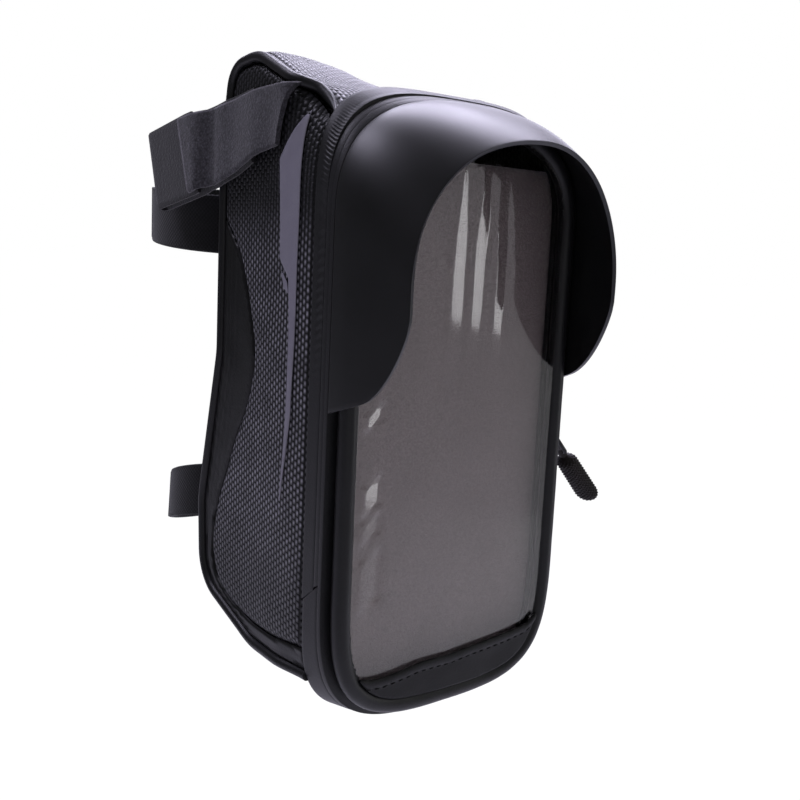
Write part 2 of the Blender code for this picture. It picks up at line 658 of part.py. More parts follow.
def make_slider(metal, cord_grip, slot_middle, collection):
    """Slider on the right-hand run of the zip, with its pull."""
    outer_low = max(LID_RIM["half"], BODY_RIM["half"]) + CLEAR
    inner_high = min(LID_RIM["half"], BODY_RIM["half"]) - TAPE_THICK - COIL_THICK - 2.0 * CLEAR
    half_length = SLIDER_LENGTH / 2.0
    place = (outer_low - CLEAR, slot_middle, SLIDER_Z)
    parts = (
        ((outer_low, slot_middle - SLIDER_WIDTH / 2.0, SLIDER_Z - half_length),
         (outer_low + SLIDER_WALL, slot_middle + SLIDER_WIDTH / 2.0, SLIDER_Z + half_length)),
        ((inner_high - SLIDER_WALL, slot_middle - 2.0, SLIDER_Z - half_length),
         (inner_high, slot_middle + 2.8, SLIDER_Z + half_length)),
        ((inner_high - 0.4, slot_middle - SLIDER_POST / 2.0, SLIDER_Z - half_length + 0.5),
         (outer_low + 0.4, slot_middle + SLIDER_POST / 2.0, SLIDER_Z - half_length + 3.5)),
        ((outer_low + SLIDER_WALL - 0.4, slot_middle - 1.0, SLIDER_Z - 3.4),
         (outer_low + SLIDER_WALL + 2.6, slot_middle + 1.0, SLIDER_Z - 2.2)),
        ((outer_low + SLIDER_WALL - 0.4, slot_middle - 1.0, SLIDER_Z + 2.2),
         (outer_low + SLIDER_WALL + 2.6, slot_middle + 1.0, SLIDER_Z + 3.4)),
        ((outer_low + SLIDER_WALL + 1.7, slot_middle - 1.0, SLIDER_Z - 3.4),
         (outer_low + SLIDER_WALL + 2.6, slot_middle + 1.0, SLIDER_Z + 3.4)),
    )
    slider = add_mesh("zip_slider", box_mesh(*parts[0]), metal, collection, place)
    cutters = bpy.data.collections.new("joining_shapes")
    bpy.context.scene.collection.children.link(cutters)
    for index, (low, high) in enumerate(parts[1:]):
        helper = add_mesh(f"slider_part_{index}", box_mesh(low, high), metal, cutters)
        helper.hide_render = True
        helper.display_type = "WIRE"
        union = slider.modifiers.new(f"join_{index}", "BOOLEAN")
        union.operation = "UNION"
        union.object = helper

    hinge_x = outer_low + SLIDER_WALL + 0.85
    pivot = Vector((hinge_x, slot_middle, SLIDER_Z))
    swing = radians(PULL_ANGLE)
    down = Vector((sin(swing), 0.0, -cos(swing)))
    loop = []
    half = PULL_TAB_WIDTH / 2.0
    corners = ((-half, 0.0), (half, 0.0), (half, PULL_TAB_LENGTH), (-half, PULL_TAB_LENGTH))
    rounded = 1.2
    for index, (y, along) in enumerate(corners):
        centre_y = y - rounded if y > 0 else y + rounded
        centre_along = along + rounded if along == 0.0 else along - rounded
        for part in range(4):
            angle = -pi + index * pi / 2.0 + part * pi / 6.0
            spot_y = centre_y + rounded * cos(angle)
            spot_along = centre_along + rounded * sin(angle)
            loop.append(pivot + Vector((0.0, spot_y, 0.0)) + down * spot_along)
    tab = round_cord("pull_ring", loop, PULL_WIRE, metal, collection, closed=True)
    tab.data.transform(Matrix.Translation(-pivot * MM))
    tab.location = pivot * MM

    out = Vector((cos(swing), 0.0, sin(swing)))
    neck = PULL_WIRE + CLEAR + 0.9
    shoulder = neck / (GRIP_LENGTH + neck)

    def grip_point(u, v):
        angle = 2.0 * pi * v
        body = max(0.0, (u - shoulder * 2.0) / (1.0 - shoulder * 2.0))
        if u <= shoulder * 1.8:
            wide, thick = PULL_TAB_WIDTH / 2.0 - PULL_WIRE - CLEAR, 1.7
        else:
            share = min(1.0, 0.75 + body * 2.0) if body < 0.8 else cos((body - 0.8) / 0.2 * 1.2) ** 0.6
            wide = GRIP_WIDTH / 2.0 * share * blend(0.8, 1.0, body)
            thick = GRIP_THICK / 2.0 * share
        spot = pivot + down * (PULL_TAB_LENGTH - neck + (GRIP_LENGTH + neck) * u)
        return spot + Vector((0.0, cos(angle) * wide, 0.0)) + out * (sin(angle) * thick)

    grip_mesh = mapped_grid(18, 16, grip_point, close_rows=True)
    cap_open_ends(grip_mesh)
    grip = add_mesh("pull_grip", grip_mesh, cord_grip, collection, pivot)
    drill = bmesh.new()
    turn = Matrix.Translation(pivot + down * PULL_TAB_LENGTH) @ Matrix.Rotation(pi / 2.0, 4, "X")
    bmesh.ops.create_cone(drill, cap_ends=True, segments=16, radius1=PULL_WIRE + CLEAR,
                          radius2=PULL_WIRE + CLEAR, depth=12.0, matrix=turn)
    drill_piece = add_mesh("ring_hole_shape", drill, metal, cutters)
    drill_piece.hide_render = True
    drill_piece.display_type = "WIRE"
    hole = grip.modifiers.new("ring_hole", "BOOLEAN")
    hole.operation = "DIFFERENCE"
    hole.object = drill_piece


def back_y(z):
    """Outer face of the strip behind the bag at a height."""
    behind = [spot for spot in SIDE_PATH if spot[0] > TOP_REAR[0] - 2.0]
    for upper, lower in zip(behind, behind[1:]):
        if lower[1] <= z <= upper[1] and upper[1] > lower[1]:
            y = blend(lower[0], upper[0], (z - lower[1]) / (upper[1] - lower[1]))
            return y + crown_at(y, z)[0]
    return 0.0


def strap_band(route, low, high, wall, lean, climb, stand_off=0.0, closed=True):
    """A band of strap between two heights; lean moves it back per millimetre down.

    climb gives how much higher the strap lies at a distance behind the bag."""
    count = len(route) if closed else len(route) - 1
    middle_z = (low + high) / 2.0

    def point(u, v):
        index = round(u * count) % len(route)
        before = Vector(route[index - 1] if closed or index else route[0])
        after = Vector(route[(index + 1) % len(route)] if closed or index < count else route[count])
        along = (after - before).normalized()
        corner = round(v * 4) % 4
        reach = stand_off + (wall / 2.0 if corner in (0, 1) else -wall / 2.0)
        spot = Vector(route[index]) + Vector((along.y, -along.x)) * reach
        z = high if corner in (1, 2) else low
        return spot.x, spot.y + (middle_z - z) * lean, z + climb(route[index][1])

    bm = mapped_grid(count, 4, point, close_columns=closed, close_rows=True)
    if not closed:
        cap_open_ends(bm)
    return bm


def make_loop_strap(name, middle_z, half_length, depth, rise, strap, hook, collection):
    """A strap loop behind the bag, the keeper sewn over it and its fastened tail."""
    half_strap = LOOP_STRAP_WIDTH / 2.0
    top, low = middle_z + half_strap, middle_z - half_strap
    lean = (back_y(low) - back_y(top)) / LOOP_STRAP_WIDTH
    heights = [blend(low, top, part / 8.0) for part in range(9)]
    seat = max(back_y(z) - (middle_z - z) * lean for z in heights) + CLEAR
    start = seat + LOOP_STRAP_THICK / 2.0
    route = racetrack(half_length, depth, start, KEEPER_WIDTH / 2.0 + 1.0)

    def climb(y):
        return rise * smooth_step((y - start) / depth * 0.5) * 2.0 if y > start else 0.0

    ring = strap_band(route, low, top, LOOP_STRAP_THICK, lean, climb)
    add_mesh(f"strap_loop_{name}", ring, strap, collection)

    sewn = 4.0
    over = seat + LOOP_STRAP_THICK + CLEAR + KEEPER_THICK / 2.0
    clear_z = half_strap + 1.5
    edge = CLEAR + KEEPER_THICK / 2.0
    keeper_route = []
    for away, lifted in ((clear_z + sewn, False), (clear_z, False), (clear_z - 1.0, True), (0.0, True),
                         (1.0 - clear_z, True), (-clear_z, False), (-clear_z - sewn, False)):
        z = middle_z + away
        keeper_route.append((over - away * lean if lifted else back_y(z) + edge, z))

    def keeper_point(u, v):
        y, z = keeper_route[round(u * 6)]
        return blend(KEEPER_WIDTH / 2.0, -KEEPER_WIDTH / 2.0, v), y, z

    keeper = add_mesh(f"strap_keeper_{name}", mapped_grid(6, 2, keeper_point), strap, collection)
    thicken(keeper, KEEPER_THICK, offset=0.0)

    rear = [spot for spot in route if spot[1] > start + depth * TAIL_START]
    stand_off = (LOOP_STRAP_THICK + HOOK_PATCH_THICK) / 2.0 + CLEAR
    tail = strap_band(rear, low, top, HOOK_PATCH_THICK, lean, climb, stand_off, closed=False)
    add_mesh(f"strap_tail_{name}", tail, hook, collection)


def neck_top(y):
    """Upper edge of a neck strap, which droops towards its free end."""
    return NECK_TOP - NECK_DROOP * max(0.0, (y - NECK_ROOT_Y) / (NECK_END_Y - NECK_ROOT_Y)) ** 1.8


def divided(route, longest=4.0):
    """The route with more points wherever two of them are far apart."""
    fine = [route[0]]
    for start, end in zip(route, route[1:]):
        pieces = max(1, round((Vector(end) - Vector(start)).length / longest))
        fine += [tuple(Vector(start).lerp(Vector(end), part / pieces)) for part in range(1, pieces + 1)]
    return fine


def neck_strap(corners, side, top, width, wall, lean=0.0):
    """A strap along a side of the bag; the corners give (gap from the side, y)."""
    route = divided(corners)
    count = len(route) - 1
    across = 7

    def point(u, v):
        index = round(u * count)
        gap, y = route[index]
        corner = round(v * (2 * across + 2)) % (2 * across + 2)
        front = corner <= across
        share = corner / across if front else (2 * across + 1 - corner) / across
        z = top(y) - width * (1.0 - share)
        rooted = 1.0 - smooth_step((y - NECK_ROOT_Y) / 12.0)
        y += lean * (share - 0.5) * smooth_step(y / NECK_END_Y) - NECK_SLANT * rooted * share ** 1.5
        before, after = route[max(0, index - 1)], route[min(count, index + 1)]
        along = (Vector(after) - Vector(before)).normalized()
        reach = wall / 2.0 if front else -wall / 2.0
        hug = half_width_at(y, z) + puff_at(y, z) + 2.0 * CLEAR * rooted * share
        return side * (hug + gap + along.y * reach), y - along.x * reach, z

    bm = mapped_grid(count, 2 * across + 2, point, close_rows=True)
    cap_open_ends(bm)
    return bm


def make_neck_straps(strap, hook, collection):
    """Hook and loop straps that leave the top of each side."""
    wall = NECK_STRAP_THICK
    ply = wall + CLEAR
    under = 1.7 * CLEAR + wall / 2.0
    past = 2.0 * CLEAR + PIPING_STANDS + wall / 2.0
    tab_gap = past + 2.0 * ply
    lift_y, past_y = -14.0, -7.0
    outer = ((under, NECK_ROOT_Y), (under, -36.0), (under + ply, -28.0), (under + ply, lift_y),
             (past + ply, past_y), (past + ply, -2.0), (tab_gap + ply + CLEAR, 4.0),
             (tab_gap + ply + 2.0 * CLEAR, NECK_END_Y))
    bm = neck_strap(outer, -1.0, neck_top, NECK_STRAP_WIDTH - 2.0, wall, lean=NECK_LEAN)
    add_mesh("neck_strap_left", bm, strap, collection)

    def inner_top(y):
        return neck_top(min(y, NECK_END_Y)) + 1.6 - max(0.0, y - NECK_END_Y) * 0.2

    turn_y = NECK_TURN_Y
    turn_gap = (past + tab_gap) / 2.0 + NECK_FLARE
    turn_radius = (tab_gap - past) / 2.0
    inner = [(under, -24.0), (under, lift_y), (past, past_y), (past, -2.0), (past + NECK_FLARE, turn_y)]
    for part in range(1, 6):
        angle = pi * part / 6.0
        inner.append((turn_gap - turn_radius * cos(angle), turn_y + turn_radius * sin(angle)))
    inner += [(tab_gap + NECK_FLARE, turn_y), (tab_gap, 8.0)]
    bm = neck_strap(inner, -1.0, inner_top, NECK_STRAP_WIDTH, wall, lean=NECK_LEAN)
    add_mesh("neck_strap_left_end", bm, strap, collection)

    right = ((under + CLEAR, NECK_ROOT_Y), (under + CLEAR, lift_y), (past, past_y), (past, NECK_END_Y))
    bm = neck_strap(right, 1.0, neck_top, NECK_STRAP_WIDTH - 2.0, wall, lean=NECK_LEAN)
    add_mesh("neck_strap_right", bm, strap, collection)
    patch_gap = past + (wall + HOOK_PATCH_THICK) / 2.0 + CLEAR
    patch = ((patch_gap, 2.0), (patch_gap, NECK_END_Y - 1.0))

    def patch_top(y):
        return neck_top(y) - 1.5

    bm = neck_strap(patch, 1.0, patch_top, NECK_STRAP_WIDTH - 5.0, HOOK_PATCH_THICK, lean=NECK_LEAN)
    add_mesh("neck_hook_patch_right", bm, hook, collection)


def main():
    clear_scene()
    bag = bpy.data.collections.new(BAG)
    bpy.context.scene.collection.children.link(bag)
    skin = make_material("grained_black_skin", (0.035, 0.033, 0.038), 0.5)
    smooth = make_material("smooth_black_skin", (0.02, 0.02, 0.022), 0.4)
    embossed = make_material("embossed_black_skin", (0.03, 0.03, 0.034), 0.32)
    edge_cord = make_material("covered_cord", (0.022, 0.021, 0.024), 0.42)
    clear_film = make_material("clear_film", (0.8, 0.8, 0.8), 0.05, alpha=0.25)
    backing = make_material("grey_backing", (0.14, 0.125, 0.125), 0.7)
    visor_sheet = make_material("moulded_black_sheet", (0.02, 0.02, 0.023), 0.38)
    tape = make_material("coated_zip_tape", (0.02, 0.02, 0.022), 0.45)
    coil = make_material("nylon_coil", (0.015, 0.015, 0.016), 0.5)
    metal = make_material("black_zinc", (0.03, 0.03, 0.03), 0.35, metallic=0.9)
    rubber = make_material("moulded_pull", (0.02, 0.019, 0.019), 0.6)
    webbing = make_material("black_webbing", (0.018, 0.018, 0.02), 0.85)
    knit = make_material("charcoal_knit", (0.045, 0.045, 0.048), 0.9)
    hook = make_material("hook_tape", (0.015, 0.015, 0.016), 0.8)
    reflective = make_material("reflective_print", (0.11, 0.105, 0.13), 0.45)

    make_gusset(skin, bag)
    make_sides(embossed, smooth, reflective, edge_cord, bag)
    make_lid(smooth, edge_cord, clear_film, backing, visor_sheet, bag)
    slot_middle = make_zip(tape, coil, smooth, metal, bag)
    make_slider(metal, rubber, slot_middle, bag)
    make_loop_strap("upper", UPPER_LOOP_Z, UPPER_LOOP_HALF, UPPER_LOOP_DEPTH, UPPER_LOOP_RISE,
                    webbing, hook, bag)
    make_loop_strap("lower", LOWER_LOOP_Z, LOWER_LOOP_HALF, LOWER_LOOP_DEPTH, LOWER_LOOP_RISE,
                    webbing, hook, bag)
    make_neck_straps(knit, hook, bag)


main()
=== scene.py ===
from math import cos, floor, hypot, pi, radians, sin, sqrt

import bmesh
import bpy
from mathutils import Matrix, Vector, noise


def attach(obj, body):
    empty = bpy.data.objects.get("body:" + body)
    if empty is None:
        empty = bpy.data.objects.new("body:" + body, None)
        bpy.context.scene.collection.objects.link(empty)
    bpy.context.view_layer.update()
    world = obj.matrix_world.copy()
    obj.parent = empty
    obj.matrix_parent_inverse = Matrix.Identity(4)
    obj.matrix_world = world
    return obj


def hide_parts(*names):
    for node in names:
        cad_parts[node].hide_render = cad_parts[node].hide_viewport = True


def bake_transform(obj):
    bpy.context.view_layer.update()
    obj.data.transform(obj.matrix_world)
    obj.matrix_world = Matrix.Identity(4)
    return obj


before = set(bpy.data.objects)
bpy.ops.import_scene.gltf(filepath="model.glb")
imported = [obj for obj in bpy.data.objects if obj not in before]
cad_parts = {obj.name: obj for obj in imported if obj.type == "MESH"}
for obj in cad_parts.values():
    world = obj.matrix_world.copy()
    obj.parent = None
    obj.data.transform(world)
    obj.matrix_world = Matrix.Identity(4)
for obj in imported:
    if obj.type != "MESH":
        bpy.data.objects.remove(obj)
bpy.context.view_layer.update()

MM = 0.001
FORWARD = (0.0, -1.0, 0.0)
BACKWARD = (0.0, 1.0, 0.0)

# ---- sizes of the bag, in millimetres, most of them as in the part's source ----
CLEAR = 0.3
HALF_WIDTH = 48.2
HALF_BACK = 46.2
BODY_DEPTH = 61.0
SIDE_PUFF = 0.8
SIDE_WALL = 2.5
GUSSET_WALL = 2.2
PIPING_RADIUS = 1.7
PIPING_STANDS = 1.0
TOP_CREST = 77.0
# Edge of a side as ((y, z), corner radius), from its upper front round the back to its sole
SIDE_CORNERS = (
    ((-BODY_DEPTH + CLEAR, 57.0), 0.0),
    ((-50.0, 65.0), 12.0),
    ((-22.0, TOP_CREST), 22.0),
    ((-5.2, 75.0), 9.0),
    ((0.0, 47.0), 30.0),
    ((0.0, -19.0), 25.0),
    ((12.2, -73.0), 30.0),
    ((10.4, -103.0), 16.0),
    ((-26.0, -115.0), 30.0),
    ((-BODY_DEPTH + CLEAR, -114.0), 0.0),
)
RIM_DEPTH = 9.6
LID_FRONT_Y = -BODY_DEPTH - RIM_DEPTH
# The two ends of the zip's band: half width, the arch above its spring line, the curve below
# its heel, and how square each is, 2 being round
LID_RIM = {"half": 48.0, "spring": 27.0, "top": 63.5, "power": 2.5,
           "heel": -83.0, "bottom": -130.0, "low_power": 3.2}
BODY_RIM = {"half": 48.2, "spring": 22.0, "top": 67.0, "power": 4.0,
            "heel": -91.0, "bottom": -130.0, "low_power": 3.5}
# Shares of the way up a side of the rim at which its low curve ends and its arch starts
RIM_LOW_END = 0.28
RIM_ARCH_START = 0.62
FRAME_THICK = 1.5
FRAME_WIDTH = 7.2
WELT_RADIUS = 3.0
WELT_INSET = 5.2
WELT_Y = LID_FRONT_Y - CLEAR - WELT_RADIUS
FILM_BEHIND_WELT = 1.5
FILM_Y = WELT_Y - WELT_RADIUS + FILM_BEHIND_WELT
FILM_SEAT = 0.5
FILM_THICK = 0.4
OPENING_INSET = WELT_INSET + WELT_RADIUS + CLEAR
POCKET_DEPTH = 6.3
POCKET_FRONT = FILM_Y + FILM_SEAT + POCKET_DEPTH
POCKET_TOP = 46.5
POCKET_INSET = 4.8
LIP_THICK = 0.9
VISOR_THICK = 1.3
VISOR_DEPTH = 27.0
ZIP_SLOT = 1.2
TAPE_LID = 1.6
TAPE_THICK = 0.9
SLOT_MIDDLE = LID_FRONT_Y + FRAME_THICK + CLEAR + TAPE_LID + ZIP_SLOT / 2.0
ZIP_END = -88.0
SLIDER_Z = -44.0
SLIDER_LENGTH = 9.0
SLIDER_WIDTH = 6.8
SLIDER_WALL = 1.2
PULL_ANGLE = radians(43.0)
RING_WIRE = 0.7
RING_LENGTH = 9.0
GRIP_LENGTH = 25.0
NECK_STRAP_WALL = 1.6
HOOK_TAPE_WALL = 1.1
LOOP_STRAP_WALL = 1.8
LOOP_STRAP_WIDTH = 20.4
KEEPER_WALL = 1.2
KEEPER_WIDTH = 20.0

# Outlines on the side as (y, z): the stripe, the small leaf beside it, and the curved seam
STRIPE = ((-53.2, 57.8), (-40.7, 44.3), (-42.6, 14.0), (-48.2, 8.6), (-49.4, -8.0),
          (-49.6, -24.0), (-48.4, -42.0), (-46.4, -66.7), (-49.6, -47.0), (-51.8, -32.7),
          (-52.8, -14.6), (-53.2, 6.0), (-53.4, 30.0))
STRIPE_LEAF = ((-43.3, 11.3), (-47.5, 7.2), (-48.4, 4.0), (-45.4, 5.6))
SEAM = ((-2.4, 26.0), (-8.0, 20.8), (-13.0, 16.0), (-18.3, 5.4), (-21.1, -2.2), (-23.7, -9.3),
        (-25.3, -16.3), (-24.7, -21.6), (-22.4, -29.8), (-18.3, -38.1), (-13.0, -45.9),
        (-8.5, -55.2), (-2.0, -68.0), (2.2, -78.0), (3.6, -86.0), (2.8, -93.0), (-0.6, -99.5),
        (-9.2, -105.0), (-23.8, -107.6), (-40.5, -107.4), (-BODY_DEPTH + CLEAR, -104.5))
# Top of the panel below the window as (x, z), wavy from its sewing
HEM = ((-40.0, -109.5), (-36.5, -111.0), (-33.0, -112.2), (-28.0, -112.6), (-21.0, -112.0),
       (-13.0, -110.9), (-6.0, -110.9), (0.0, -111.0), (8.4, -110.2), (17.0, -109.6),
       (26.0, -108.8), (34.0, -107.6), (38.5, -104.6))
# Long folds in the film as (x, top, half width, tilt) and dents as (x, z, width, height, tilt)
FILM_BLADES = ((-3.8, 49.5, 3.2, 0.13), (5.2, 49.5, 4.2, 0.12), (12.6, 50.5, 3.8, 0.112))
FILM_DENTS = ((-34.5, -54.5, 3.2, 3.5, 0.17), (-34.5, -64.5, 3.2, 2.2, 0.17),
              (-34.0, -81.0, 3.4, 7.0, 0.17), (-34.5, -30.5, 3.0, 1.6, 0.17))
# The hood has been pushed to the right: its free edge is measured on each side of its top
VISOR_LEAN = 7.0
VISOR_SPRING = 8.0
VISOR_TOP = 51.5
VISOR_LEFT = {"half": 48.0, "power": 2.15, "low": -29.0, "straight": 13.0, "rise": 19.5}
VISOR_RIGHT = {"half": 34.5, "power": 2.2, "low": -23.0, "straight": 6.0, "rise": 19.0}
# How far the padded top stands over its edges, as (x, lift): it has sagged on the right
CREST = ((-48.0, 0.0), (-44.0, 1.8), (-39.0, 2.6), (-30.0, 2.2), (-21.0, 1.4), (-16.0, 0.5),
         (-11.5, -0.7), (-6.5, -1.6), (4.0, -3.2), (20.0, -3.6), (40.0, -3.2), (48.0, -3.0))


def smooth_step(value):
    """From 0 to 1 as the value does, with soft ends, and no further on either side."""
    value = min(1.0, max(0.0, value))
    return value * value * (3.0 - 2.0 * value)


def blend(first, second, share):
    """The value at a share of the way from first to second."""
    return first + (second - first) * share


def along_table(table, place):
    """The value at a place in a table of (place, value) rows, straight between them."""
    if place <= table[0][0]:
        return table[0][1]
    for (low, first), (high, second) in zip(table, table[1:]):
        if place <= high:
            return blend(first, second, (place - low) / (high - low))
    return table[-1][1]


def ripple(spot, size, seed=0.0):
    """Smooth noise from -1 to 1 whose bumps are about size millimetres across."""
    return noise.noise(Vector(spot) / size + Vector((seed, seed * 1.7, -seed)))


def fillet_path(corners, step, run):
    """Points along straight runs whose corners, given as ((y, z), radius), are rounded."""
    path = []
    last = len(corners) - 1
    for index, (corner, radius) in enumerate(corners):
        here = Vector(corner)
        if index in (0, last) or radius == 0.0:
            path.append(here)
            continue
        back = (Vector(corners[index - 1][0]) - here).normalized()
        ahead = (Vector(corners[index + 1][0]) - here).normalized()
        half_angle = back.angle(ahead) / 2.0
        reach = radius * cos(half_angle) / sin(half_angle)
        centre = here + (back + ahead).normalized() * (radius / sin(half_angle))
        start = here + back * reach
        sweep = (start - centre).angle_signed(here + ahead * reach - centre)
        pieces = max(3, round(abs(sweep) * radius / step))
        for part in range(pieces + 1):
            turned = (start - centre).copy()
            turned.rotate(Matrix.Rotation(-sweep * part / pieces, 2))
            path.append(centre + turned)
    return spaced_out([tuple(point) for point in path], run)


def spaced_out(path, run):
    """The path with points added so that they are about run apart."""
    fine = [tuple(path[0])]
    for point in path[1:]:
        start = Vector(fine[-1])
        count = max(1, round((Vector(point) - start).length / run))
        fine += [tuple(start.lerp(Vector(point), part / count)) for part in range(1, count + 1)]
    return fine


def rounded(path, rounds=2):
    """The path with its corners cut again and again, ends kept."""
    points = [Vector(point) for point in path]
    for _ in range(rounds):
        cut = [points[0]]
        for first, second in zip(points, points[1:]):
            cut += [first.lerp(second, 0.25), first.lerp(second, 0.75)]
        points = cut + [points[-1]]
    return [tuple(point) for point in points]


SIDE_PATH = fillet_path(SIDE_CORNERS, 1.6, 2.6)


def arch_share(height, power):
    """Width of a rounded arch as a share of its foot, at a share of its height."""
    height = min(0.98, max(0.0, height))
    return (1.0 - height ** power) ** (1.0 / power)


def near_front(y, reach):
    """1 at the front edge of the body, 0 from reach millimetres behind it."""
    return 1.0 - smooth_step((y + BODY_DEPTH) / reach)


def half_width_at(y, z):
    """Half width of the body: it draws in towards the rim's rounded corners."""
    front = near_front(y, 18.0)
    half = blend(HALF_BACK, HALF_WIDTH, near_front(y, 45.0))
    share = 1.0
    if z > BODY_RIM["spring"]:
        rise = (z - BODY_RIM["spring"]) / (BODY_RIM["top"] - BODY_RIM["spring"])
        share = arch_share(rise, BODY_RIM["power"])
    if z < BODY_RIM["heel"]:
        drop = (BODY_RIM["heel"] - z) / (BODY_RIM["heel"] - BODY_RIM["bottom"])
        share = arch_share(drop, BODY_RIM["low_power"])
    return half * (1.0 - front * (1.0 - share))


def puff_at(y, z):
    """Swell of a padded side, none at its edges."""
    across = (y + BODY_DEPTH) / (BODY_DEPTH + 6.0)
    sole_z = SIDE_CORNERS[-1][0][1]
    up = (z - sole_z) / (TOP_CREST - sole_z)
    if not (0.0 < across < 1.0 and 0.0 < up < 1.0):
        return 0.0
    return SIDE_PUFF * sin(pi * across) * sin(pi * up) ** 0.5


def sag(x, y, z):
    """How far the soft top has moved up or down at a place."""
    behind = 1.0 - near_front(y, 26.0)
    return behind * smooth_step((z - 54.0) / 20.0) * along_table(CREST, x)


def sole_crown(y, z):
    """How far the strip bulges out below the heel, most at the front."""
    heel_z = -73.0
    return blend(2.5, 16.0, near_front(y, 50.0)) * smooth_step((heel_z - z) / 30.0)


def arch_rise(x, y):
    """At the front the top follows the arch of the zip's band instead of lying flat."""
    reach = min(0.98, abs(x) / BODY_RIM["half"])
    arch = blend(BODY_RIM["spring"], BODY_RIM["top"], arch_share(reach, BODY_RIM["power"]))
    return max(0.0, arch - 3.5 - SIDE_CORNERS[0][0][1]) * near_front(y, 16.0)


def rim_point(around, share, inset=0.0):
    """A point (x, z) on the rim: around is 0 at the bottom and goes up the right side."""
    shape = {key: blend(LID_RIM[key], BODY_RIM[key], share) for key in LID_RIM}
    around -= floor(around)
    side = 1.0 if around <= 0.5 else -1.0
    place = (around if around <= 0.5 else 1.0 - around) * 2.0

    def on_outline(place):
        if place < RIM_LOW_END:
            angle = (1.0 - place / RIM_LOW_END) * pi / 2.0
            reach = shape["half"] * max(0.0, cos(angle)) ** (2.0 / shape["low_power"])
            drop = (shape["heel"] - shape["bottom"]) * sin(angle) ** (2.0 / shape["low_power"])
            return Vector((reach, shape["heel"] - drop))
        if place < RIM_ARCH_START:
            share_up = (place - RIM_LOW_END) / (RIM_ARCH_START - RIM_LOW_END)
            return Vector((shape["half"], blend(shape["heel"], shape["spring"], share_up)))
        angle = (place - RIM_ARCH_START) / (1.0 - RIM_ARCH_START) * pi / 2.0
        reach = shape["half"] * max(0.0, cos(angle)) ** (2.0 / shape["power"])
        rise = (shape["top"] - shape["spring"]) * sin(angle) ** (2.0 / shape["power"])
        return Vector((reach, shape["spring"] + rise))

    spot = on_outline(place)
    if inset:
        nudge = 0.004
        before = on_outline(max(0.0, place - nudge))
        after = on_outline(min(1.0, place + nudge))
        along = (after - before).normalized()
        if place <= 0.0 or place >= 1.0:
            along = Vector((1.0 if place <= 0.0 else -1.0, 0.0))
        spot += Vector((-along.y, along.x)) * inset
        spot.x = max(0.0, spot.x)
    return side * spot.x, spot.y


def rim_outline(inset, count):
    """The rim at the lid's front as a closed outline."""
    return [rim_point(index / count, 0.0, inset) for index in range(count)]


def rim_share(y):
    """0 at the lid's front face and 1 where the band meets the body."""
    return min(1.0, max(0.0, (y - LID_FRONT_Y) / RIM_DEPTH))


# ---- materials ----

def colour(value):
    """An sRGB hex colour as the linear values that the shader works with."""
    parts = [int(value[index:index + 2], 16) / 255.0 for index in (1, 3, 5)]
    return (*[part / 12.92 if part <= 0.04045 else ((part + 0.055) / 1.055) ** 2.4
              for part in parts], 1.0)


def add_node(tree, kind, inputs, **settings):
    """A shader node with its settings, and its inputs set or linked.

    Among the inputs a node stands for its own first output."""
    made = tree.nodes.new("ShaderNode" + kind)
    for name, value in settings.items():
        setattr(made, name, value)
    for name, value in inputs.items() if isinstance(inputs, dict) else enumerate(inputs):
        if isinstance(value, bpy.types.Node):
            value = value.outputs[0]
        if isinstance(value, bpy.types.NodeSocket):
            tree.links.new(value, made.inputs[name])
        else:
            made.inputs[name].default_value = value
    return made


def start_material(name, **values):
    """A material with its shader, node tree and coordinate node; values go on the shader."""
    material = bpy.data.materials.new(name)
    material.use_nodes = True
    tree = material.node_tree
    shader = tree.nodes["Principled BSDF"]
    for socket, value in values.items():
        shader.inputs[socket.replace("_", " ")].default_value = value
    return material, tree, shader, add_node(tree, "TexCoord", ())


def grain(tree, places, kind, size_mm, **inputs):
    """A noise or cell texture whose grains are size_mm apart, on the piece's own coordinates."""
    inputs = {"Vector": places.outputs["Object"], "Scale": 1.0 / (size_mm * MM), **inputs}
    return add_node(tree, kind, inputs)


def paint(tree, shader, share, dark, light):
    """Let a share from 0 to 1 take the colour from dark to light."""
    colour_a, colour_b, colour_out = 6, 7, 2
    mix = add_node(tree, "Mix", {0: share, colour_a: colour(dark), colour_b: colour(light)},
                   data_type="RGBA")
    tree.links.new(mix.outputs[colour_out], shader.inputs["Base Color"])


def polish(tree, shader, texture, gain, base):
    """Let a texture from 0 to 1 change the roughness by gain, from base."""
    roughness = add_node(tree, "Math", (texture, gain, base), operation="MULTIPLY_ADD")
    tree.links.new(roughness.outputs[0], shader.inputs["Roughness"])


def relief(tree, shader, height, depth_mm):
    """Let a height from 0 to 1 show as a relief depth_mm deep."""
    made = add_node(tree, "Bump", {"Height": height, "Distance": depth_mm * MM})
    tree.links.new(made.outputs[0], shader.inputs["Normal"])


def coated_skin(name, dark, light, grain_mm, depth_mm, roughness, specular):
    """Polyurethane-coated cloth: satin black, fine pebbled grain, faintly cloudy."""
    material, tree, shader, places = start_material(name, Specular_IOR_Level=specular)
    cells = grain(tree, places, "TexVoronoi", grain_mm)
    cloud = grain(tree, places, "TexNoise", 14.0, Detail=3.0)
    cloudy = add_node(tree, "Math", (cloud, 0.55), operation="MULTIPLY")
    share = add_node(tree, "Math", (cells, 0.35, cloudy), operation="MULTIPLY_ADD")
    paint(tree, shader, share, dark, light)
    polish(tree, shader, cloud, 0.14, roughness - 0.07)
    relief(tree, shader, cells, depth_mm)
    return material


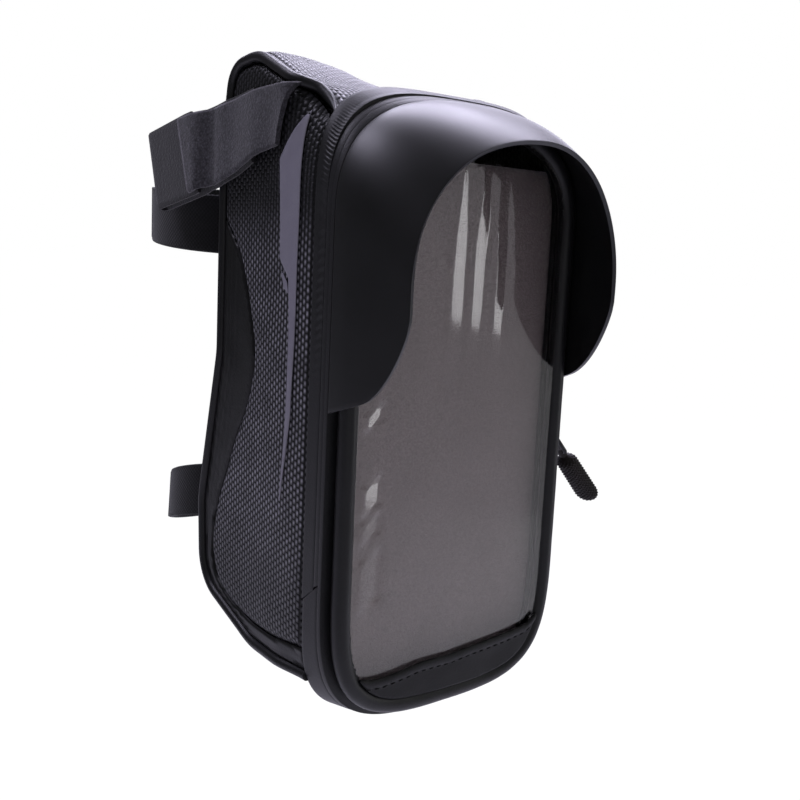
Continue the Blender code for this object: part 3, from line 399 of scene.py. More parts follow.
def embossed_check(name, dark, light, socket, across, up, specular, shaded_glints=False):
    """Coated cloth pressed with a fine staggered check: each thread stands up, and its top is
    painted pale as a glint.

    across and up pick the axes of the coordinate socket. The UV map is in millimetres."""
    column_mm, row_mm = 1.75, 2.3
    material, tree, shader, places = start_material(name, Specular_IOR_Level=specular)
    split = add_node(tree, "SeparateXYZ", (places.outputs[socket],))
    unit = 1.0 / MM if socket == "Object" else 1.0
    column = add_node(tree, "Math", (split.outputs[across], unit / column_mm),
                      operation="MULTIPLY")
    number = add_node(tree, "Math", (column,), operation="FLOOR")
    stagger = add_node(tree, "Math", (number, 0.5), operation="MULTIPLY")
    row = add_node(tree, "Math", (split.outputs[up], unit / row_mm, stagger),
                   operation="MULTIPLY_ADD")

    def crest(value):
        """A hump from 0 to 1 and back over each whole step of the value."""
        part = add_node(tree, "Math", (value,), operation="FRACT")
        rest = add_node(tree, "Math", (1.0, part), operation="SUBTRACT")
        rise = add_node(tree, "Math", (part, rest), operation="MULTIPLY")
        return add_node(tree, "Math", (rise, 4.0), operation="MULTIPLY")

    height = add_node(tree, "Math", (crest(column), crest(row)), operation="MULTIPLY")
    cloud = grain(tree, places, "TexNoise", 9.0, Detail=4.0, Roughness=0.6)
    fine = grain(tree, places, "TexNoise", 0.8, Detail=2.0)
    # The thread tops are painted pale as painted glints, stronger in the cloud's patches
    share = add_node(tree, "Math", (height, 2.8), operation="POWER")
    factors = [add_node(tree, "Math", (cloud, 1.5, 0.1), operation="MULTIPLY_ADD"),
               add_node(tree, "Math", (fine, 1.0, 0.5), operation="MULTIPLY_ADD")]
    if shaded_glints:
        # Painted shade on the glints: dimmed from 12 to 34 mm up as painted shade from the neck
        # strap, and the painted glints fade towards the bottom
        for low_mm, high_mm, first, last in ((12.0, 34.0, 1.0, 0.12), (-100.0, -60.0, 0.3, 1.0)):
            span = (split.outputs[2], low_mm * MM, high_mm * MM, first, last)
            factors.append(add_node(tree, "MapRange", span, interpolation_type="SMOOTHSTEP"))
    for factor in factors:
        share = add_node(tree, "Math", (share, factor), operation="MULTIPLY")
    paint(tree, shader, share, dark, light)
    polish(tree, shader, height, -0.12, 0.5)
    relief(tree, shader, height, 0.32)
    return material


def woven(name, dark, light, across_mm, along_mm, depth_mm):
    """Webbing: ribs across the strap in a plain weave, matte with a little fuzz."""
    material, tree, shader, places = start_material(
        name, Roughness=0.86, Specular_IOR_Level=0.22, Sheen_Weight=0.2, Sheen_Roughness=0.5)
    split = add_node(tree, "SeparateXYZ", (places.outputs["UV"],))
    waves = []
    for output, pitch_mm in ((0, along_mm), (1, across_mm)):
        turned = add_node(tree, "Math", (split.outputs[output], 2.0 * pi / pitch_mm),
                          operation="MULTIPLY")
        waves.append(add_node(tree, "Math", (turned,), operation="SINE"))
    crossed = add_node(tree, "Math", waves, operation="MULTIPLY")
    weave = add_node(tree, "Math", (crossed, 0.35, 0.5), operation="MULTIPLY_ADD")
    fuzz = grain(tree, places, "TexNoise", 0.9, Detail=3.0)
    share = add_node(tree, "Math", (weave, fuzz), operation="MULTIPLY")
    paint(tree, shader, share, dark, light)
    height = add_node(tree, "Math", (fuzz, 0.5, weave), operation="MULTIPLY_ADD")
    relief(tree, shader, height, depth_mm)
    return material


def loop_pile(name, dark, light, grain_mm):
    """Brushed loop cloth: tiny uneven loops, matte, greyer where the pile stands."""
    material, tree, shader, places = start_material(
        name, Roughness=0.95, Specular_IOR_Level=0.15, Sheen_Weight=0.25, Sheen_Roughness=0.6)
    loops = grain(tree, places, "TexVoronoi", grain_mm, Randomness=0.9)
    fuzz = grain(tree, places, "TexNoise", grain_mm * 2.2, Detail=5.0, Roughness=0.65)
    cloud = grain(tree, places, "TexNoise", 16.0, Detail=2.0)
    share = add_node(tree, "Math", (loops, -0.7, 0.75), operation="MULTIPLY_ADD")
    for texture, gain, base in ((fuzz, 1.7, -0.15), (cloud, 0.8, 0.6)):
        factor = add_node(tree, "Math", (texture, gain, base), operation="MULTIPLY_ADD")
        share = add_node(tree, "Math", (share, factor), operation="MULTIPLY")
    paint(tree, shader, share, dark, light)
    relief(tree, shader, share, 0.25)
    return material


def moulded(name, dark, light, roughness, specular, grain_mm=0.5, depth_mm=0.01):
    """Moulded sheet or rubber: even colour, faint cloudiness and a fine surface texture."""
    material, tree, shader, places = start_material(name, Specular_IOR_Level=specular)
    cloud = grain(tree, places, "TexNoise", 22.0, Detail=3.0)
    fine = grain(tree, places, "TexNoise", grain_mm, Detail=2.0)
    paint(tree, shader, cloud, dark, light)
    polish(tree, shader, cloud, 0.16, roughness - 0.08)
    relief(tree, shader, fine, depth_mm)
    return material


def clear_film():
    """Soft PVC film: clear, glossy and faintly grey, a little hazy in places."""
    material, tree, shader, places = start_material(
        "clear_pvc_film", Transmission_Weight=1.0, IOR=1.5, Specular_IOR_Level=0.5)
    shader.inputs["Base Color"].default_value = colour("#f2f0f4")
    polish(tree, shader, grain(tree, places, "TexNoise", 12.0, Detail=3.0), 0.07, 0.02)
    return material


def enamelled_zinc():
    """Cast zinc under black enamel: dark, smooth, and a touch lighter in small spots of wear."""
    material, tree, shader, places = start_material(
        "enamelled_zinc", Metallic=0.6, Specular_IOR_Level=0.5)
    wear = grain(tree, places, "TexNoise", 1.4, Detail=4.0)
    paint(tree, shader, wear, "#101011", "#2b2b2d")
    polish(tree, shader, wear, 0.2, 0.25)
    return material


def reflective_film():
    """Reflective transfer film: flat grey-violet with a fine bead sparkle."""
    material, tree, shader, places = start_material("reflective_film", Specular_IOR_Level=0.35)
    beads = grain(tree, places, "TexVoronoi", 0.6)
    cloud = grain(tree, places, "TexNoise", 6.0, Detail=3.0)
    share = add_node(tree, "Math", (cloud, 0.7, 0.1), operation="MULTIPLY_ADD")
    paint(tree, shader, share, "#7b7885", "#93909c")
    polish(tree, shader, beads, 0.2, 0.4)
    relief(tree, shader, beads, 0.03)
    return material


# Pressed check of the sides: painted lilac-grey glints on the thread tops, in staggered rows on
# near-black
check_cloth = embossed_check("embossed_check_cloth", "#0b0b0d", "#a3a1ac", "Object", 1, 2, 0.25,
                             shaded_glints=True)
# The same cloth over the top and down the back, seen flat: the rows run along the strip. Painted
# paler than on the sides as a painted sheen, with fainter painted glints
top_cloth = embossed_check("pressed_top_cloth", "#1a191e", "#4a4954", "UV", 1, 0, 0.45)
# The same coated cloth without the check. Smooth on the sides' borders: even satin black
smooth_skin = coated_skin("smooth_coated_skin", "#0b0b0c", "#171719", 0.7, 0.03, 0.42, 0.3)
# On the zip's band and the lid's edge: duller and a little greyer
band_skin = coated_skin("matte_band_skin", "#101012", "#202023", 0.6, 0.03, 0.5, 0.42)
# Drawn tight over cords: black with a soft gleam along them
cord_skin = coated_skin("piping_skin", "#0d0d0f", "#1d1d20", 0.7, 0.03, 0.45, 0.4)
# On the panel below the window: dull black
lip_skin = coated_skin("lip_skin", "#101012", "#1f1f22", 0.7, 0.03, 0.5, 0.3)
# EVA sheet pressed to a hood: broad satin sheen outside, dull inside, and a painted highlight along
# its edge
visor_outer = moulded("satin_moulded_sheet", "#0d0d0f", "#161619", 0.42, 0.5)
visor_inner = moulded("matte_moulded_sheet", "#0c0c0d", "#141415", 0.7, 0.2)
visor_edge_highlight = moulded("sheet_edge_painted_highlight", "#2b2b2f", "#3c3c41", 0.4, 0.5)
# Clear soft PVC, calendered: it shows the lining and bright streaks where it is creased
film_clear = clear_film()
# Brushed lining behind the film: warm grey, with no gleam
backing_cloth = loop_pile("pocket_backing_cloth", "#564d4e", "#958a8b", 0.5)
# Nylon coil: black with a small gleam on each turn
coil_nylon = moulded("nylon_coil", "#08080a", "#151517", 0.4, 0.5)
# Cast and enamelled slider and ring: glossy black
metal = enamelled_zinc()
# Moulded rubber pull: brownish black and dull, its knurling from the mesh
grip_rubber = moulded("knurled_rubber", "#14110f", "#2c2725", 0.6, 0.3, 0.6, 0.05)
# Woven polypropylene straps behind the bag: flat black
black_webbing = woven("black_webbing", "#060607", "#1d1d20", 1.1, 1.6, 0.12)
# Brushed loop cloth of the neck straps: charcoal, with a painted highlight along the upper edge and
# the end of the outer ply, darker inside
neck_pile = loop_pile("charcoal_loop_pile", "#121114", "#625f69", 0.75)
neck_edge_highlight = loop_pile("strap_edge_painted_highlight", "#4a474e", "#87848c", 0.6)
inner_pile = loop_pile("dark_loop_pile", "#0c0b0d", "#2b292e", 0.75)
# Hook tape: black and rough
hook_cloth = loop_pile("hook_tape", "#070708", "#1d1d1f", 0.9)
# Printed stripe: flat violet-grey
print_film = reflective_film()
# Black polyester thread, a little lighter than the cloth it dips into
thread = woven("sewing_thread", "#111113", "#2c2c2f", 0.3, 0.5, 0.05)


# ---- building pieces ----

def grid_sheet(columns, rows, point, spans, join_columns=False, join_rows=False):
    """A sheet whose vertices go where point(u, v) says, its UV map in millimetres over spans."""
    bm = bmesh.new()
    bmesh.ops.create_grid(bm, x_segments=columns, y_segments=rows, size=0.5)
    uv = bm.loops.layers.uv.verify()
    for face in bm.faces:
        for loop in face.loops:
            place = loop.vert.co
            loop[uv].uv = ((place.x + 0.5) * spans[0], (place.y + 0.5) * spans[1])
    for vertex in bm.verts:
        vertex.co = Vector(point(vertex.co.x + 0.5, vertex.co.y + 0.5))
    if join_columns or join_rows:
        bmesh.ops.remove_doubles(bm, verts=bm.verts, dist=0.0005)
    return bm


def close_ends(bm):
    """Put a face over each open end."""
    bmesh.ops.holes_fill(bm, edges=[edge for edge in bm.edges if edge.is_boundary], sides=0)


def inside_outline(outline, a, b):
    """Whether a place lies in a closed outline: a line from it crosses an odd number of runs."""
    inside = False
    for (a1, b1), (a2, b2) in zip(outline, outline[1:] + outline[:1]):
        if (b1 > b) != (b2 > b) and a < (a2 - a1) * (b - b1) / (b2 - b1) + a1:
            inside = not inside
    return inside


def nearest_on(outline, a, b, closed=True):
    """Nearest point of the outline, and its distance."""
    best, spot = float("inf"), (a, b)
    ends = outline[1:] + (outline[:1] if closed else [])
    for (a1, b1), (a2, b2) in zip(outline, ends):
        da, db = a2 - a1, b2 - b1
        share = min(1.0, max(0.0, ((a - a1) * da + (b - b1) * db) / max(1e-9, da * da + db * db)))
        pa, pb = a1 + da * share, b1 + db * share
        gap = (a - pa) ** 2 + (b - pb) ** 2
        if gap < best:
            best, spot = gap, (pa, pb)
    return spot, sqrt(best)


def outline_sheet(outline, spacing, place):
    """A fine grid cut to an outline in a plane, each vertex then put where place(a, b, edge) says.

    edge is the distance from the outline in millimetres."""
    outline = [tuple(spot) for spot in outline]
    low_a, high_a = min(a for a, b in outline), max(a for a, b in outline)
    low_b, high_b = min(b for a, b in outline), max(b for a, b in outline)
    columns = max(2, round((high_a - low_a) / spacing))
    rows = max(2, round((high_b - low_b) / spacing))
    bm = bmesh.new()
    bmesh.ops.create_grid(bm, x_segments=columns, y_segments=rows, size=0.5)
    for vertex in bm.verts:
        vertex.co = Vector((blend(low_a, high_a, vertex.co.x + 0.5),
                            blend(low_b, high_b, vertex.co.y + 0.5), 0.0))
    outside = []
    gaps = {}
    for vertex in bm.verts:
        a, b = vertex.co.x, vertex.co.y
        spot, gap = nearest_on(outline, a, b)
        if inside_outline(outline, a, b) or gap < spacing * 0.55:
            gaps[vertex] = (spot, gap)
        else:
            outside.append(vertex)
    bmesh.ops.delete(bm, geom=outside, context="VERTS")
    loose = [vertex for vertex in bm.verts if not vertex.link_faces]
    bmesh.ops.delete(bm, geom=loose, context="VERTS")
    uv = bm.loops.layers.uv.verify()
    for vertex in bm.verts:
        if vertex.is_boundary:
            spot, gap = nearest_on(outline, vertex.co.x, vertex.co.y)
            vertex.co.x, vertex.co.y = spot
            gaps[vertex] = (spot, 0.0)
    for face in bm.faces:
        for loop in face.loops:
            loop[uv].uv = (loop.vert.co.x, loop.vert.co.y)
    for vertex in bm.verts:
        vertex.co = Vector(place(vertex.co.x, vertex.co.y, gaps[vertex][1]))
    return bm


def add_piece(name, bm, materials, body, replaces=(), outward=None, wall=0.0,
              offset=-1.0, edge=0.0, rim_material=0, back_material=0, angle=40.0,
              fix_normals=True, bends=None):
    """Turn a bmesh in millimetres into a piece that rides on a body and stands for CAD nodes.

    outward is the direction that an open sheet's face looks in, or gives it for a point.
    When bends is given, the piece is left unattached and its transform baked in; what bends holds
    is not used."""
    if fix_normals:
        bmesh.ops.recalc_face_normals(bm, faces=bm.faces)
    if outward:
        total = 0.0
        for face in bm.faces:
            away = outward(face.calc_center_median()) if callable(outward) else outward
            total += face.normal.dot(Vector(away)) * face.calc_area()
        if total < 0.0:
            bmesh.ops.reverse_faces(bm, faces=bm.faces)
    bmesh.ops.scale(bm, vec=(MM, MM, MM), verts=bm.verts)
    mesh = bpy.data.meshes.new(name)
    bm.to_mesh(mesh)
    bm.free()
    mesh.shade_smooth()
    mesh.set_sharp_from_angle(angle=radians(angle))
    for material in materials:
        mesh.materials.append(material)
    piece = bpy.data.objects.new(name, mesh)
    bpy.context.scene.collection.objects.link(piece)
    if wall:
        shell = piece.modifiers.new("wall", "SOLIDIFY")
        shell.thickness = wall * MM
        shell.offset = offset
        shell.use_even_offset = True
        shell.material_offset = back_material
        shell.material_offset_rim = rim_material
    if edge:
        soft = piece.modifiers.new("soft_edge", "BEVEL")
        soft.width = edge * MM
        soft.segments = 3
        soft.limit_method = "ANGLE"
        soft.angle_limit = radians(50.0)
    if bends:
        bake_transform(piece)
    else:
        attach(piece, body)
    if replaces:
        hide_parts(*replaces)
    return piece


def offset_path(path, distance):
    """The path moved to its right-hand side by distance, ends kept on their own normals."""
    moved = []
    for index, (y, z) in enumerate(path):
        before, after = path[max(0, index - 1)], path[min(len(path) - 1, index + 1)]
        along_y, along_z = after[0] - before[0], after[1] - before[1]
        length = hypot(along_y, along_z)
        moved.append((y + along_z / length * distance, z - along_y / length * distance))
    return moved


def path_length(path):
    """Length of a path, straight from point to point."""
    return sum((Vector(b) - Vector(a)).length for a, b in zip(path, path[1:]))


def tube(points, radius, around=20, closed=False, swell=None):
    """A round cord along points; swell(u, v), along and around it, can change its radius."""
    points = [Vector(point) for point in points]
    last = len(points) - 1
    frames = []
    side = None
    for index, point in enumerate(points):
        before = points[index - 1 if closed or index else 0]
        after = points[(index + 1) % len(points) if closed or index < last else last]
        along = (after - before).normalized()
        if side is None:
            side = along.orthogonal().normalized()
        side = (side - along * side.dot(along)).normalized()
        frames.append((point, side.copy(), along.cross(side)))
    count = len(points) if closed else last

    def point_at(u, v):
        index = round(u * count)
        spot, first, second = frames[index % len(frames)]
        angle = 2.0 * pi * v
        reach = radius * (swell(u, v) if swell else 1.0)
        return spot + first * cos(angle) * reach + second * sin(angle) * reach

    length = path_length(points)
    bm = grid_sheet(count, around, point_at, (length, 2.0 * pi * radius), closed, True)
    if not closed:
        close_ends(bm)
    return bm


def rounded_section(front, back, outer, inner, radius, steps=3):
    """A closed loop of (y, inset) round a bar with softened corners."""
    corners = ((front + radius, outer + radius, 1.0), (back - radius, outer + radius, 1.5),
               (back - radius, inner - radius, 0.0), (front + radius, inner - radius, 0.5))
    loop = []
    for y, inset, start in corners:
        for part in range(steps + 1):
            angle = (start + 0.5 * part / steps) * pi
            loop.append((y + cos(angle) * radius, inset + sin(angle) * radius))
    return loop + [loop[0]]


def divided(loop, start, parts):
    """The loop with the run that follows its point number start cut into equal parts."""
    first, second = loop[start:start + 2]
    between = [(blend(first[0], second[0], part / parts), blend(first[1], second[1], part / parts))
               for part in range(1, parts)]
    return loop[:start + 1] + between + loop[start + 1:]


def rim_sweep(section, first=0.0, last=1.0, steps=240, shift=None):
    """A bar that follows the rim, its section a loop of (y, inset)."""
    closed = first == 0.0 and last == 1.0
    count = len(section) - 1

    def point(u, v):
        y, inset = section[round(v * count)]
        around = blend(first, last, u)
        x, z = rim_point(around, rim_share(y), inset)
        if shift:
            x, y, z = shift(x, y, z, around)
        return x, y, z

    bm = grid_sheet(steps, count, point, (520.0 * (last - first), 12.0), closed, True)
    if not closed:
        close_ends(bm)
    return bm


def stitches(name, runs, body, pitch=3.0, length=2.1, thick=0.42):
    """Rows of lockstitch: each thread dips into the cloth at both ends.

    A run is a list of points and the direction that faces away from the cloth."""
    bm = bmesh.new()
    for points, out in runs:
        points = [Vector(point) for point in points]
        total = path_length(points)
        count = max(1, int(total / pitch))
        for number in range(count):
            target = (number + 0.5) * total / count
            walked = 0.0
            for first, second in zip(points, points[1:]):
                span = (second - first).length
                if walked + span >= target:
                    break
                walked += span
            along = (second - first).normalized()
            spot = first + along * (target - walked)
            up = Vector(out)
            sideways = along.cross(up).normalized()
            turn = Matrix((along, sideways, up)).transposed().to_4x4()
            sized = Matrix.Diagonal((length / 2.0, thick / 2.0, thick / 2.0, 1.0))
            bmesh.ops.create_uvsphere(bm, u_segments=6, v_segments=5, radius=1.0,
                                      matrix=Matrix.Translation(spot) @ turn @ sized)
    add_piece(name, bm, [thread], body, fix_normals=False, angle=180.0)


# ---- the bag's shell ----

def make_top_and_back():
    """One strip over the sagging top, down the back and under the bag."""
    path = SIDE_PATH
    count = len(path) - 1
    tucked_in = 1.8
    edge_in = SIDE_WALL + 2.0 * CLEAR - tucked_in
    travelled = [path_length(path[:index + 1]) for index in range(len(path))]

    def point(u, v):
        index = round(u * count)
        y, z = path[index]
        half = half_width_at(y, z) - edge_in
        x = blend(-half, half, v)
        edge = min(v, 1.0 - v) * 2.0 * half
        lift = sole_crown(y, z) * (1.0 - abs(2.0 * v - 1.0) ** 3.0)
        before, after = path[max(0, index - 1)], path[min(count, index + 1)]
        along = Vector((after[0] - before[0], after[1] - before[1])).normalized()
        roll = -1.0 * (1.0 - smooth_step(edge / 3.0))
        soft = ripple((x, travelled[index], 0.0), 26.0, 3.0) * 0.7
        soft += ripple((x, travelled[index], 0.0), 9.0, 8.0) * 0.25
        lift += roll + soft * smooth_step(edge / 9.0)
        raised = z + (sag(x, y, z) + arch_rise(x, y) if z > 50.0 else 0.0)
        if index in (0, count):
            return x, y, raised + (lift if index == 0 else -lift)
        return x, y - along.y * lift, raised + along.x * lift

    bm = grid_sheet(count, 64, point, (travelled[-1], 2.0 * HALF_WIDTH))
    strip = add_piece("top_and_back_strip", bm, [top_cloth], "bag", ["gusset_strip"],
                      wall=GUSSET_WALL,
                      outward=lambda spot: spot - Vector((spot.x, -BODY_DEPTH / 2.0, 0.0)))


def settled(side, y, z):
    """How far the upper edge of a side has moved down: only the right one has."""
    return sag(HALF_WIDTH, y, z) if side > 0.0 else 0.0


def side_x(side, y, z, lift):
    """Where the outer face of a padded side lies, or a place lift millimetres outside it."""
    return side * (half_width_at(y, z) + puff_at(y, z) + lift)


def make_side(name, side):
    """Padded side: pressed check cloth, smooth border with moulded ridges, stripe and piping."""
    inner = offset_path(SIDE_PATH, PIPING_RADIUS + CLEAR)
    inner[0] = (SIDE_PATH[0][0], inner[0][1])
    inner[-1] = (SIDE_PATH[-1][0], inner[-1][1])
    seam = rounded(SEAM, 2)
    upper = [spot for spot in inner if spot[1] > SEAM[0][1] + CLEAR]
    lower = [spot for spot in inner if spot[1] < SEAM[0][1] - 4.0]
    panel_outline = upper + seam

    def on_panel(y, z, edge):
        roll = -0.9 * (1.0 - smooth_step(edge / 2.2)) ** 2
        soft = ripple((side * 20.0, y, z), 22.0, 5.0) * 0.35 * smooth_step(edge / 8.0)
        swell = 0.27 * smooth_step(edge / 9.0)
        x = side_x(side, y, z, roll + soft + swell)
        return x, y, z + settled(side, y, z)

    bm = outline_sheet(panel_outline, 1.5, on_panel)
    panel = add_piece(f"check_side_{name}", bm, [check_cloth], "bag", [f"side_panel_{name}"],
                      wall=SIDE_WALL - 0.3,
                      outward=(side, 0.0, 0.0))

    border_outline = lower + offset_path(seam, -0.4)[::-1]

    def on_border(y, z, edge):
        spot, gap = nearest_on(inner, y, z, closed=False)
        ridges = 0.45 * (0.5 + 0.5 * cos((gap - 3.4) / 3.1 * 2.0 * pi)) * smooth_step(gap / 1.5)
        ridges *= 1.0 - smooth_step((gap - 7.5) / 4.0)
        soft = ripple((side * 20.0, y, z), 14.0, 9.0) * 0.3 * smooth_step(edge / 4.0)
        x = side_x(side, y, z, ridges + soft - 0.55)
        return x, y, z + settled(side, y, z)

    bm = outline_sheet(border_outline, 1.3, on_border)
    border = add_piece(f"smooth_border_{name}", bm, [smooth_skin], "bag", [f"side_border_{name}"],
                       wall=SIDE_WALL - 0.6,
                       outward=(side, 0.0, 0.0))

    def on_stripe(y, z, edge):
        x = side_x(side, y, z, 0.72 + ripple((side * 20.0, y, z), 22.0, 5.0) * 0.35)
        return x, y, z

    bm = outline_sheet(STRIPE, 0.7, on_stripe)
    leaf = outline_sheet(STRIPE_LEAF, 0.4, on_stripe)
    printed = bpy.data.meshes.new("leaf_of_stripe")
    leaf.to_mesh(printed)
    leaf.free()
    bm.from_mesh(printed)
    bpy.data.meshes.remove(printed)
    add_piece(f"stripe_{name}", bm, [print_film], "bag", [f"reflective_stripe_{name}"],
              wall=0.15, outward=(side, 0.0, 0.0))

    points = []
    for y, z in SIDE_PATH:
        x = side * (half_width_at(y, z) + PIPING_STANDS - PIPING_RADIUS)
        points.append((x, y, z + settled(side, y, z)))

    def taper(u, v):
        """Thinner where it runs in under the zip's band."""
        return 0.3 + 0.7 * smooth_step(u * 36.0)

    bm = tube(points, PIPING_RADIUS, swell=taper)
    add_piece(f"piping_cord_{name}", bm, [cord_skin], "bag", [f"piping_{name}"])


# ---- the lid ----

def make_lid():
    """The lid's edge, its welt, the clear window, the panel below it and the backing behind."""
    section = rounded_section(LID_FRONT_Y, LID_FRONT_Y + FRAME_THICK + 0.25, 0.0, FRAME_WIDTH, 0.12)
    bm = rim_sweep(section, steps=300)
    add_piece("lid_edge_skin", bm, [band_skin], "lid", ["lid_frame"])

    points = []
    for x, z in rim_outline(WELT_INSET, 400):
        wave = ripple((x, z, 0.0), 30.0, 2.0) * 0.25
        points.append((x, WELT_Y + wave, z))
    bm = tube(points, WELT_RADIUS, around=28, closed=True,
              swell=lambda u, v: 1.0 + 0.02 * ripple((u * 500.0, v * 3.0, 0.0), 6.0))
    add_piece("padded_welt", bm, [cord_skin], "lid", ["lid_welt"])

    opening = rim_outline(OPENING_INSET - 1.2, 240)

    def on_film(x, z, edge):
        bulge = -0.15 * smooth_step(edge / 20.0) - film_crease(x, z) * smooth_step(edge / 4.0)
        return x, FILM_Y + 0.2 + bulge, z

    bm = outline_sheet(opening, 0.8, on_film)
    add_piece("clear_window", bm, [film_clear], "lid", ["window_film"],
              wall=FILM_THICK, offset=0.0, outward=FORWARD, angle=180.0)

    make_lip()

    pocket = [(x, min(z, POCKET_TOP)) for x, z in rim_outline(POCKET_INSET, 240)]

    def on_pocket(x, z, edge):
        soft = ripple((x, 0.0, z), 24.0, 11.0) * 0.4 * smooth_step(edge / 6.0)
        return x, POCKET_FRONT + 0.5 + soft, z

    bm = outline_sheet(pocket, 2.0, on_pocket)
    add_piece("pocket_backing", bm, [backing_cloth], "lid", ["pocket_back"],
              wall=1.6, outward=FORWARD)


def film_crease(x, z):
    """Folds that the film keeps: three long blades from the top and small dents on the left.

    Each is a tilted strip whose edges fall back to the film over a few millimetres."""
    out = 0.0
    for middle, top, wide, tilt in FILM_BLADES:
        down = (top - z) / 60.0
        if not 0.0 < down < 2.2:
            continue
        half = wide * (0.3 + 0.7 * smooth_step(down * 1.6))
        away = x - middle + down
        share = min(1.0, max(-1.0, away / half))
        fade = smooth_step(down * 6.0) * (1.0 - smooth_step((down - 0.5) / 0.9))
        out -= tilt * half * share * fade * (1.0 - smooth_step((abs(away) - half) / 2.0))
    for middle_x, middle_z, wide, tall, tilt in FILM_DENTS:
        away = x - middle_x
        share = min(1.0, max(-1.0, away / wide))
        fade = 1.0 - smooth_step((abs(z - middle_z - share * 1.5) - tall) / 1.8)
        out -= tilt * wide * share * fade * (1.0 - smooth_step((abs(away) - wide) / 3.0))
    return out


def make_lip():
    """The panel below the window, with the fold along its top."""
    low = [rim_point(index / 400.0, 0.0, OPENING_INSET - 1.0) for index in range(-60, 61)]
    low = [(x, z) for x, z in low if z < along_table(HEM, x) - 0.6]
    top = [blend(low[-1][0], low[0][0], part / 90.0) for part in range(91)]
    outline = low + [(x, along_table(HEM, x)) for x in top]
    front = FILM_Y - CLEAR - LIP_THICK

    def on_lip(x, z, edge):
        below = along_table(HEM, x) - z
        fold = -0.55 * smooth_step(below / 0.9) * (1.0 - smooth_step((below - 2.4) / 0.7))
        soft = ripple((x, 0.0, z), 12.0, 14.0) * 0.35 * smooth_step((below - 3.0) / 4.0)
        return x, front + fold + soft, z

    bm = outline_sheet(outline, 0.6, on_lip)
    add_piece("lower_panel", bm, [lip_skin], "lid", ["window_lip", "lip_hem"],
              wall=0.8, outward=FORWARD)
    across = [blend(low[0][0] + 2.0, low[-1][0] - 2.0, part / 60.0) for part in range(61)]
    row = [(x, front - 0.1, along_table(HEM, x) - 3.4) for x in across]
    stitches("lower_panel_stitching", [(row, FORWARD)], "lid")


def visor_point(across, out):
    """A point on the visor's outer face: out is 0 at the lid and 1 at the free edge."""
    depth = out * VISOR_DEPTH
    turned = out ** 1.5
    side = 1.0 if across <= 0.5 else -1.0
    free = VISOR_RIGHT if side > 0.0 else VISOR_LEFT
    half = blend(LID_RIM["half"], free["half"], turned)
    spring = blend(LID_RIM["spring"], VISOR_SPRING, turned)
    top = blend(LID_RIM["top"], VISOR_TOP, turned)
    power = blend(LID_RIM["power"], free["power"], turned)
    past = max(0.0, depth - free["straight"]) / (VISOR_DEPTH - free["straight"])
    turned_up = (1.0 + past ** 2 - sqrt(1.0 - past ** 2)) / 2.0
    low = free["low"] + 0.35 * depth + free["rise"] * turned_up
    place = (across if across <= 0.5 else 1.0 - across) * 2.0
    straight = 0.3
    if place < straight:
        x, z = half, blend(low, spring, place / straight)
    else:
        angle = (place - straight) / (1.0 - straight) * pi / 2.0
        x = half * max(0.0, cos(angle)) ** (2.0 / power)
        z = spring + (top - spring) * sin(angle) ** (2.0 / power)
    return side * x + VISOR_LEAN * turned, LID_FRONT_Y - CLEAR - depth, z


def make_visor():
    """The hood: one moulded sheet, satin outside and matte inside."""
    def point(u, v):
        x, y, z = visor_point(u, v)
        dent = ripple((x, y, z), 30.0, 6.0) * 0.5 * smooth_step(v * 4.0)
        away = Vector((x, 0.0, z - 8.0)).normalized()
        return x - away.x * dent, y, z - away.z * dent

    bm = grid_sheet(220, 48, point, (240.0, VISOR_DEPTH))
    add_piece("moulded_hood", bm, [visor_outer, visor_inner, visor_edge_highlight], "lid", ["sun_visor"],
              wall=VISOR_THICK, edge=0.35, back_material=1, rim_material=2,
              outward=lambda spot: spot - Vector((0.0, spot.y, 8.0)))


# ---- the zip ----

def zip_place(z, side):
    """How far round the rim a height on its straight side lies."""
    share = (z - BODY_RIM["heel"]) / (BODY_RIM["spring"] - BODY_RIM["heel"])
    place = blend(RIM_LOW_END, RIM_ARCH_START, share) / 2.0
    return place if side > 0.0 else 1.0 - place


def closed_up(y, around):
    """Away from the slider the two tapes meet."""
    shut = smooth_step((around - 0.46) / 0.06)
    away = y - SLOT_MIDDLE
    near = 1.0 - smooth_step((abs(away) - ZIP_SLOT / 2.0) / 0.5)
    return y - shut * near * (away - (0.05 if away > 0.0 else -0.05))


def plain_tape(x, y, z, around):
    """The lid's tape, with no print of the coil."""
    return x, closed_up(y, around), z


def ribbed_tape(x, y, z, around):
    """Print of the coil through the tape where the band bends over the upper left shoulder."""
    deep, ribs_round, print_front, print_back = 0.22, 240.0, -66.2, -63.6
    near = smooth_step((around - 0.58) / 0.03) * (1.0 - smooth_step((around - 0.72) / 0.05))
    across = smooth_step((y - print_front) / 0.8) * (1.0 - smooth_step((y - print_back) / 0.8))
    press = deep * near * across * (0.5 + 0.5 * sin(around * 2.0 * pi * ribs_round))
    away = Vector((x, 0.0, z)).normalized()
    return x - away.x * press, closed_up(y, around), z - away.z * press


